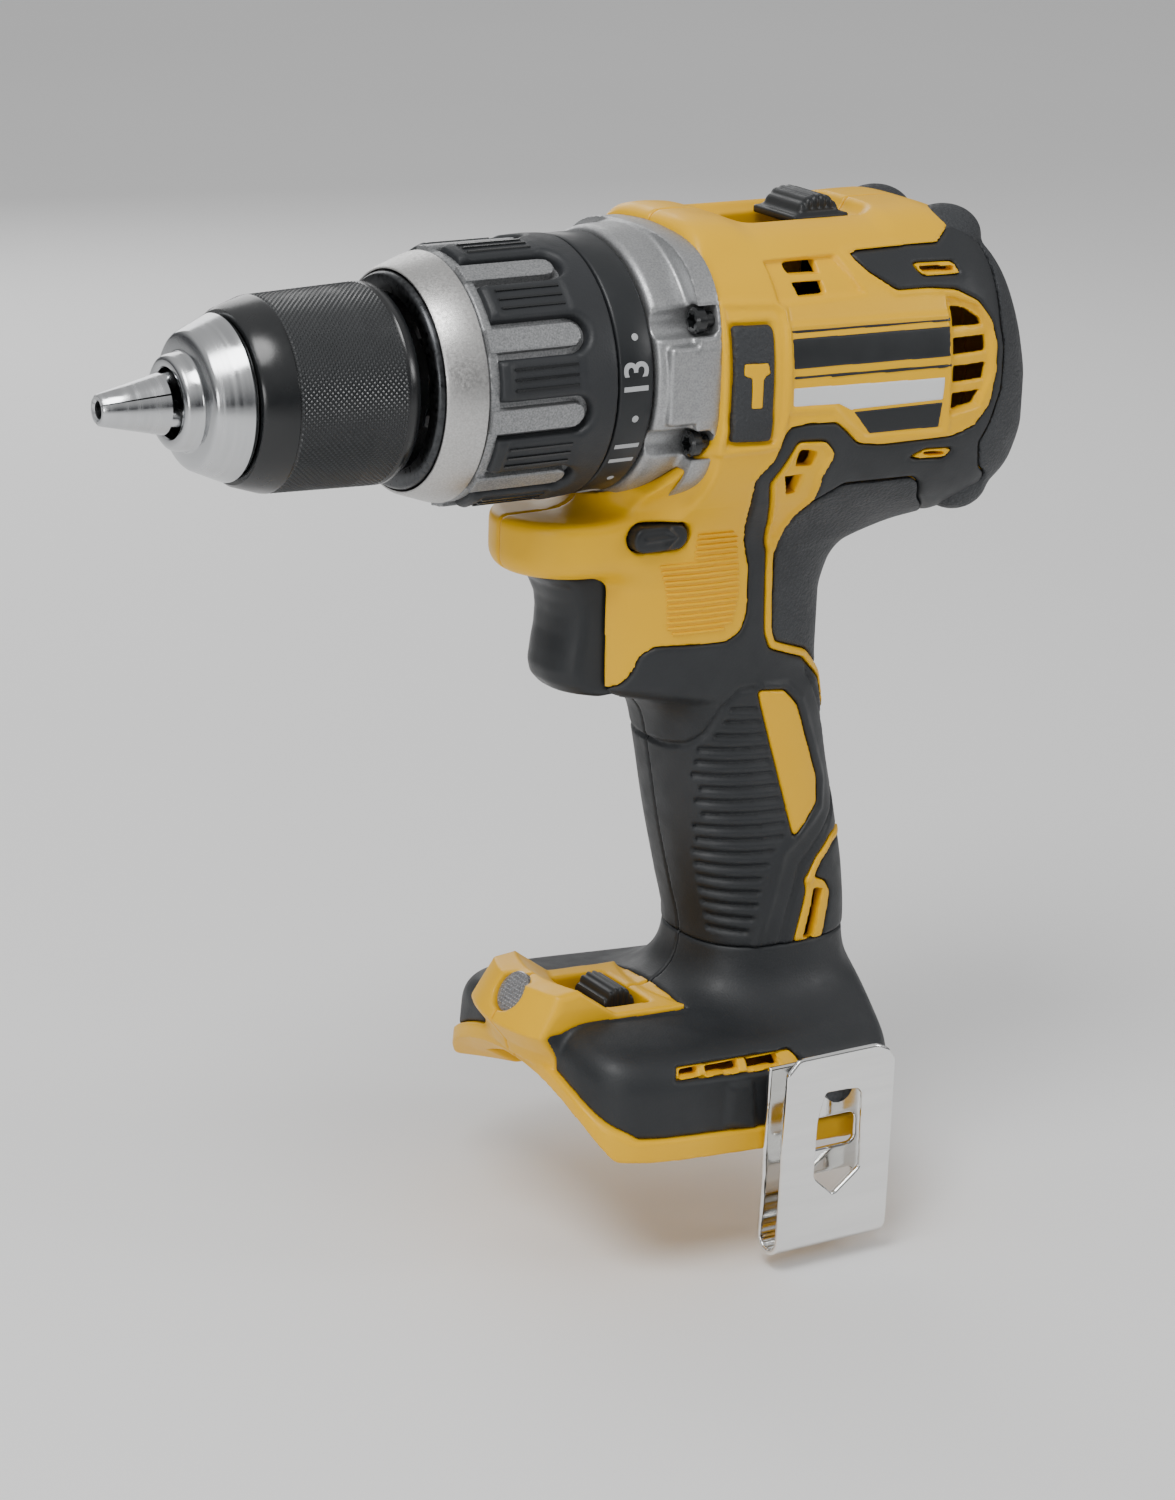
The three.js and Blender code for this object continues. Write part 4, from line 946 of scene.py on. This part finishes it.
def make_collar(looks):
    grid, x, y, z = sampled((-20.5, -28.5, -28.5), (19.5, 28.5, 28.5), 0.4)
    r = np.hypot(y, z)
    turn = np.arctan2(z, -y) - PAD_ANGLE
    around = (turn + PAD_PITCH / 2) % PAD_PITCH - PAD_PITCH / 2
    across = around * 26.6
    to_groove = PAD_PITCH * 26.6 / 2 - np.abs(across)
    base = curve(x, [[-11, 25.4], [-8.5, 25.7], [10, 26.2], [19, 26.6]])
    top = curve(x, [
        [-9.6, 25.9], [-8.4, 26.9], [-6.8, 27.4], [10, 27.5], [15, 27.3], [17.6, 27.1], [18.1, 26.7],
    ])
    tongue = np.where(x < 8.2, to_groove - 2.5, np.hypot(x - 8.2, to_groove) - 2.5)
    moat = np.where(x < 8.2, to_groove - 4.0, np.hypot(x - 8.2, to_groove) - 4.0)
    pads = np.maximum(r - top + 0.9 * np.clip(1.0 - moat / 1.6, 0, 1) ** 2, 23.2 - r)
    pads = soft_max(pads, -moat, 0.8)
    hollow = box_field(x, across, 0 * x, (-6.6, -3.7, -1), (9.6, 3.7, 1), 1.0)
    pads = raised(pads, hollow, -0.45, 1.2)
    pads = common(pads, -8.8 - x, x - 18.0)
    grip = grid.skin("collar_pads", pads, looks["rubber"], sharp=40)
    finish_piece(grip, "torque_dial", "soft_rubber", "collar_grip")
    tongue_top = common(r - 26.6, 22.6 - r, tongue, -10.6 - x, x - 17)
    moat_floor = common(r - 24.6, 22.6 - r, -9 - x, x - 17)
    front = common(r - base, 22.6 - r, -10.8 - x, x + 8.6)
    piece = grid.skin("collar_shell", joined(tongue_top, moat_floor, front), looks["grey"], sharp=40)
    finish_piece(piece, "torque_dial", "grey_plastic", "torque_collar")
    ring = [
        (-19.3, 22.6), (-19.3, 22.9), (-18.7, 23.4), (-12.6, 25.5), (-11.4, 25.7), (-11, 25.3), (-11, 22.6),
    ]
    finish_piece(
        lathe("collar_bezel", ring, looks["satin"], 160), "torque_dial", "silver_metal", "collar_front_ring")
    make_number_ring(looks)
    make_collar_ribs(looks)


def make_collar_ribs(looks):
    """Three fine ribs along each pad."""
    points, faces = [], []
    for pad in range(PADS):
        for offset in (-2.0, 0.1, 2.2):
            a = PAD_ANGLE + pad * PAD_PITCH + offset / 27
            out = np.array([0, -math.cos(a), math.sin(a)])
            side = np.array([0, math.sin(a), math.cos(a)])
            start = len(points)
            for x in (-6.2, -5.8, 8.6, 9.0):
                low = x in (-6.2, 9.0)
                for s, h in ((-0.35, 26.5), (-0.22, 27.35), (0.22, 27.35), (0.35, 26.5)):
                    points.append(np.array([x, 0, 0]) + out * (26.6 if low else h) + side * s)
            for i in range(3):
                for j in range(3):
                    p = start + i * 4 + j
                    faces.append((p, p + 1, p + 5, p + 4))
    piece = tidy_mesh(add_piece("collar_ribs", points, faces, looks["gloss"], 30))
    finish_piece(piece, "torque_dial", "soft_rubber")


NUMBERS = ("15", "13", "11", "9", "7", "5", "3", "1")


def make_number_ring(looks):
    ring = [(18.4, 22.6), (18.4, 26.5), (18.9, 27.0), (26.0, 27.0), (26.5, 26.6), (26.5, 22.6)]
    finish_piece(
        lathe("number_band", softened(ring, 0.25), looks["black"], 160), "torque_dial", "black_plastic",
        "number_ring")
    for k, text in enumerate(NUMBERS):
        angle = math.radians(40.5 - 36 * k)
        if k:
            wrapped_number("number_" + text, text, angle, looks["print"])
        dot = wrapped_dot("number_dot_" + text, angle - math.radians(18), looks["print"])
        finish_piece(dot, "torque_dial", "grey_plastic")


def wrapped_number(name, text, angle, material):
    """Digits wrapped round the ring, reading along it with their tops towards the chuck."""
    data = bpy.data.curves.new(name, "FONT")
    data.body, data.size = text, 8.0
    data.align_x, data.align_y = "CENTER", "CENTER"
    data.extrude, data.offset = 0.06, 0.12
    source = bpy.data.objects.new(name, data)
    bpy.context.scene.collection.objects.link(source)
    bpy.context.view_layer.update()
    mesh = bpy.data.meshes.new_from_object(source)
    bpy.data.objects.remove(source)
    points = np.array([v.co for v in mesh.vertices])
    faces = [tuple(p.vertices) for p in mesh.polygons]
    a = angle + points[:, 0] / 27.0
    r = 27.0 + points[:, 2]
    placed = np.stack([22.5 - points[:, 1], -r * np.cos(a), r * np.sin(a)], -1)
    piece = tidy_mesh(add_piece(name, placed, faces, material, 30))
    return finish_piece(piece, "torque_dial", "grey_plastic")


def wrapped_dot(name, angle, material):
    steps = np.arange(20) * 2 * math.pi / 20
    points = []
    for radius, height in ((0.75, 26.9), (0.75, 27.06), (0.6, 27.12)):
        for s in steps:
            a = angle + radius * math.sin(s) / 27
            points.append((22.6 + radius * math.cos(s), -height * math.cos(a), height * math.sin(a)))
    faces = [tuple(range(40, 60))] + joined_rings(3, 20)
    return tidy_mesh(add_piece(name, points, faces, material, 30))


# ---- gear case, trigger, controls


def make_gear_case(looks):
    grid, x, y, z = sampled((26.4, -30.5, -29), (42, 30.5, 29), 0.4)
    r = np.hypot(y, z)
    flange = np.maximum(r - curve(x, [[27, 27.2], [28.6, 28.1], [33, 28.3]]), 27.2 - x)
    shoulders = np.maximum(section(y, z, 29.6, 28.3, 3.0), 35.8 - x)
    case = soft_min(flange, shoulders, 1.2)
    pad = box_field(x, np.abs(y), z, (29.0, 15, -8.2), (44, 29.4, 8.2), 1.2)
    case = soft_min(case, pad, 0.8)
    channel = box_field(x, np.abs(y), np.abs(z), (20, 24.6, 9.8), (39.6, 40, 15.8), 0.8)
    head = np.maximum(np.hypot(np.abs(y) - 26, np.abs(z) - 12.8) - 3.3, x - 40.2)
    case = soft_max(case, -np.minimum(channel, head), 0.7)
    case = common(case, -(cradle_form(x, y, z) - 0.2), x - 41.0, 21.4 - r)
    piece = grid.skin("gear_case_shell", case, looks["silver"], sharp=40)
    finish_piece(piece, "root", "silver_metal", "gear_case")


CASE_SCREW_SIDES = 48
CASE_SCREW_RINGS = [
    (40, 1.6), (37.6, 1.6), (37.6, 2.7), (35.9, 2.75), (35.4, 2.2), (35.4, 1.45), (37.4, 1.35), (37.4, 0.01),
]


def make_case_screws(looks):
    """Button-head screws with a six-point recess, facing forwards."""
    for k, (y0, z0) in enumerate(((-26, 12.8), (-26, -12.8), (26, 12.8), (26, -12.8))):
        points = []
        for x, radius in CASE_SCREW_RINGS:
            for s in range(CASE_SCREW_SIDES):
                a = s * 2 * math.pi / CASE_SCREW_SIDES
                lobe = 1 + 0.16 * math.cos(6 * a) if radius < 1.5 else 1
                points.append((x, y0 + radius * lobe * math.cos(a), z0 + radius * lobe * math.sin(a)))
        faces = joined_rings(len(CASE_SCREW_RINGS), CASE_SCREW_SIDES)
        piece = tidy_mesh(add_piece(f"case_screw_{k + 1}", points, faces, looks["gloss"], 30))
        finish_piece(piece, "root", "dark_steel", f"gear_case_screw_{k + 1}")


def make_trigger(looks):
    grid, x, y, z = sampled((10, -10.6, -72.5), (37, 10.6, -40), 0.4)
    side = [
        (12.3, -43.4), (16.1, -46.4), (17.8, -50), (18.2, -53), (18.0, -57), (17.3, -61), (16.8, -65),
        (17.4, -67.6), (19.5, -69.8), (23.8, -70.8), (30, -70.4), (36, -66), (36, -43.4),
    ]
    form = eased(outline_field(x - 4.6 * (np.abs(y) / 10) ** 2.6, z + 0 * y, side), 2)
    form = np.maximum(soft_max(form, np.abs(y) - 9.7, 1.4), x - 35.9)
    piece = grid.skin("trigger_lever", form, looks["black"], sharp=50)
    finish_piece(piece, "trigger_piece", "black_plastic", "trigger")


def make_button(looks):
    grid, x, y, z = sampled((28, -20, -39), (44, 20, -31), 0.3)
    oval = np.hypot(np.maximum(np.abs(x - 35.4) - 3.7, 0), z + 34.9) - 2.85
    form = soft_max(oval, np.abs(y) - 18.4, 1.0)
    arrow = path_field(x, z, [(31.5, -34.9), (38.6, -34.9)]) - 0.45
    tip = path_field(x, z, [(36.8, -33.2), (38.8, -34.9), (36.8, -36.6)]) - 0.45
    form = raised(form, np.minimum(arrow, tip) + 0 * y, 0.45, 0.7)
    piece = grid.skin("reverse_button", form, looks["black"], sharp=50)
    finish_piece(piece, "reverse_bar", "black_plastic", "direction_button")


def make_selector(looks):
    grid, x, y, z = sampled((71, -9, 25), (87, 9, 34), 0.3)
    base = box_field(x, y, z, (72, -8, 26.6), (86, 8, 28.4), 0.6)
    ridge = section(x - 79, z - 26.5, 5.4, 5.9, 2.4)
    ridge = soft_max(ridge, np.abs(y) - 7.2, 1.5)
    form = soft_min(base, ridge, 1.0)
    rows = np.abs((x - 79 + 0.9) % 1.8 - 0.9) - 0.35
    form = np.where(z > 29.5, raised(form, rows, -0.3, 0.5), form)
    form = np.maximum(form, 26.6 - z)
    piece = grid.skin("speed_knob", form, looks["black"], sharp=50)
    finish_piece(piece, "speed_slider", "black_plastic", "speed_selector")


def make_clip(looks):
    """The belt clip: one strip of sheet bent back on itself, with a window in its outer leg."""
    grid, x, y, z = sampled((51, -48.4, -192.5), (85, -35.8, -144), 0.35)
    inner, outer, low = -39.4, -46.3, -187.6
    radius = (inner - outer) / 2
    bend = [
        (inner - radius + radius * math.cos(a), low - radius * math.sin(a))
        for a in np.linspace(0, math.pi, 13)
    ]
    path = [(inner, -150), (inner, -168), (inner - 0.4, -176)] + bend + [(outer, -146)]
    sheet = path_field(y, z, path) - 0.65
    plate = eased(outline_field(x, z, [
        (54.2, -148.6), (57.2, -145.4), (60, -144.6), (76.9, -145.2), (80.5, -146.9), (82.4, -149.6),
        (82.1, -194), (53.2, -194),
    ]), 3)
    window = eased(outline_field(x, z, [
        (64.4, -154.4), (72.6, -154.8), (74, -156.3), (74.3, -173.5), (67.5, -178.7), (62.3, -173.9),
        (62.6, -160.9),
    ]), 3)
    form = soft_max(sheet, plate + 0 * y, 0.4)
    leg_windows = np.minimum(
        box_field(x, 0 * y, z, (60.5, -1, -186), (77.5, 1, -176.3), 2),
        box_field(x, 0 * y, z, (62.5, -1, -171), (77.5, 1, -163.5), 2))
    form = np.where(y < -43, soft_max(form, -window, 0.4), soft_max(form, -leg_windows, 0.4))
    piece = grid.skin("clip_strip", form, looks["chrome"], sharp=50)
    finish_piece(piece, "root", "chrome", "belt_clip")


def make_led_parts(looks):
    grid, x, y, z = sampled((28, -10, -150), (44, 10, -136), 0.3)
    form = soft_max(section(x - 36.6, z + 146, 4.4, 6.4, 2.2), np.abs(y) - 6.4, 0.8)
    rows = np.abs((x - 36.6 + 0.75) % 1.5 - 0.75) - 0.3
    form = raised(form, rows, -0.35, 0.5)
    form = np.maximum(form, -147.5 - z)
    piece = grid.skin("lamp_slider_knob", form, looks["black"], sharp=50)
    finish_piece(piece, "lamp_slider", "black_plastic", "led_switch")


def make_lamp(looks):
    """The lamp's flat lens, covered with small domes."""
    c, s = math.cos(LAMP_FACE), math.sin(LAMP_FACE)
    centre = np.array([LAMP_CENTRE[0], 0, LAMP_CENTRE[1]])
    up, inwards, across = np.array([c, 0, s]), np.array([s, 0, -c]), np.array([0, 1, 0])
    points, faces = [], []

    def turned_disc(a, b, rings, sides):
        start = len(points)
        for depth, radius in rings:
            for k in range(sides):
                t = k * 2 * math.pi / sides
                at = centre + up * (a + radius * math.sin(t)) + across * (b + radius * math.cos(t))
                points.append(at + inwards * depth)
        faces.append(tuple(range(len(points) - sides, len(points))))
        faces.extend(joined_rings(len(rings), sides, start))

    turned_disc(0, 0, [(3.4, 4.8), (1.7, 4.8), (1.5, 4.6)], 64)
    pitch = 0.82
    for i in range(-5, 6):
        for j in range(-6, 7):
            a, b = i * pitch, (j + 0.5 * (i % 2)) * pitch
            if math.hypot(a, b) < 4.2:
                turned_disc(a, b, [(1.6, 0.3), (1.4, 0.26), (1.3, 0.14)], 8)
    piece = tidy_mesh(add_piece("lamp_front", points, faces, looks["lens"], 40))
    finish_piece(piece, "root", "lens", "lamp_lens")


def make_label(looks):
    """The raised rating plate, here a plain dark band, two lines and a white plate."""
    grid, x, y, z = sampled((55.5, 24, -16.5), (100, 33, 12), 0.3)
    outer = outer_form(x, y, z)
    dark = np.minimum(outline_field(x, z, LABEL_BAND), outline_field(x, z, DARK_PLATE))
    for path in LABEL_LINES:
        dark = np.minimum(dark, stroke(x, z, path, 0.75))
    white = np.maximum(outline_field(x, z, WHITE_PLATE), -outline_field(x, z, DARK_PLATE) + 0.4)
    print_skin = np.maximum(outer - 0.14, -(outer + 0.5))
    mirrored_pair("label_print", grid, np.maximum(dark, print_skin), looks["black"], "black_plastic")
    mirrored_pair("label_plate", grid, np.maximum(white, print_skin), looks["white"], "grey_plastic")


def make_side_pad(looks):
    grid, x, y, z = sampled((41.5, 24, -15), (55, 33, 13.5), 0.3)
    outer = outer_form(x, y, z)
    pad = eased(outline_field(x, z, PAD), 4)
    hammer = eased(outline_field(x, z, HAMMER), 1)
    base = np.maximum(soft_max(pad + 0 * y, outer - 0.35, 0.9), -(outer + 0.9))
    base = np.maximum(base, -np.maximum(hammer - 0.1, -(outer + 0.05)))
    mark = common(hammer + 0 * y, outer - 0.3, -(outer + 0.6))
    mirrored_pair("side_pad", grid, base, looks["coarse"], "soft_rubber")
    mirrored_pair("hammer_mark", grid, mark, looks["yellow"], "yellow_plastic")


RIB_COUNT, RIB_TOP, RIB_PITCH = 18, -35.2, 1.26
RIB_BUTTON_X, RIB_BUTTON_Z = 44.5, -40.5  # ribs above this height start behind the reverse button
RIB_FRONT = [[-56.6, 40.2], [-55.5, 39], [-48, 38.5], [-41, 36.3]]
RIB_REAR = [[-57, 51.5], [-55.5, 54], [-48, 55.3], [-41, 54.5], [-36.4, 53.6], [-35.2, 52.3]]


def make_panel_ribs(looks):
    """Fine ribs on the yellow cheek behind the trigger."""
    grid, x, y, z = sampled((34, 14, -59), (57, 24, -33.5), 0.25)
    outer = outer_form(x, y, z)
    rows = []
    for k in range(RIB_COUNT):
        level = RIB_TOP - RIB_PITCH * k
        left = RIB_BUTTON_X if level > RIB_BUTTON_Z else curve(np.array([level]), RIB_FRONT)[0]
        right = curve(np.array([level]), RIB_REAR)[0]
        rows.append(stroke(x, z, [(left, level), (right, level)], 0.62))
    field = np.maximum(soft_max(np.minimum.reduce(rows) + 0 * y, outer - 0.45, 0.3), -(outer + 0.5))
    mirrored_pair("panel_ribs", grid, field, looks["yellow"], "yellow_plastic")


SLOT_LOOKS = {
    "yellow_plastic": "yellow", "black_plastic": "black", "soft_rubber": "rubber", "grey_plastic": "grey",
    "silver_metal": "silver", "steel": "steel", "dark_steel": "dark_steel", "chrome": "chrome",
    "copper": "copper", "brass": "brass", "circuit_board": "board", "lens": "lens",
}


def dress_frame(looks):
    """Gives every CAD node that still shows the finish of its material slot."""
    slots = {part["node"]: part["material_slot"] for part in frame["record"]["subparts"]}
    for name, node in frame["nodes"].items():
        slot = slots[name]
        node.data.materials.clear()
        node.data.materials.append(looks[SLOT_LOOKS[slot]])
        node.data.shade_smooth()
        node.data.set_sharp_from_angle(angle=math.radians(30.0))


FLOOR_HALF = 6.0
FLOOR_DROP = 0.004  # from the lowest point of the frame down to the floor


def make_floor():
    finish = Finish("floor", (0.86, 0.86, 0.86), 0.75)
    finish.vary_colour(finish.noise(3.0), (0.85, 0.85, 0.85), (0.87, 0.87, 0.87))
    level = CAD_BOX[0][2] - FLOOR_DROP
    corners = [(-1, -1), (1, -1), (1, 1), (-1, 1)]
    mesh = bpy.data.meshes.new("floor")
    mesh.from_pydata([(a * FLOOR_HALF, b * FLOOR_HALF, level) for a, b in corners], [], [(0, 1, 2, 3)])
    mesh.materials.append(finish.material)
    floor = bpy.data.objects.new("floor", mesh)
    bpy.context.scene.collection.objects.link(floor)


make_camera()
LOOKS = make_materials()
for make in (
    dress_frame, make_housing, make_chuck, make_jaws, make_collar, make_gear_case, make_case_screws,
    make_trigger, make_button, make_selector, make_clip, make_led_parts, make_lamp, make_label,
    make_side_pad, make_panel_ribs,
):
    make(LOOKS)
make_lights()
make_floor()
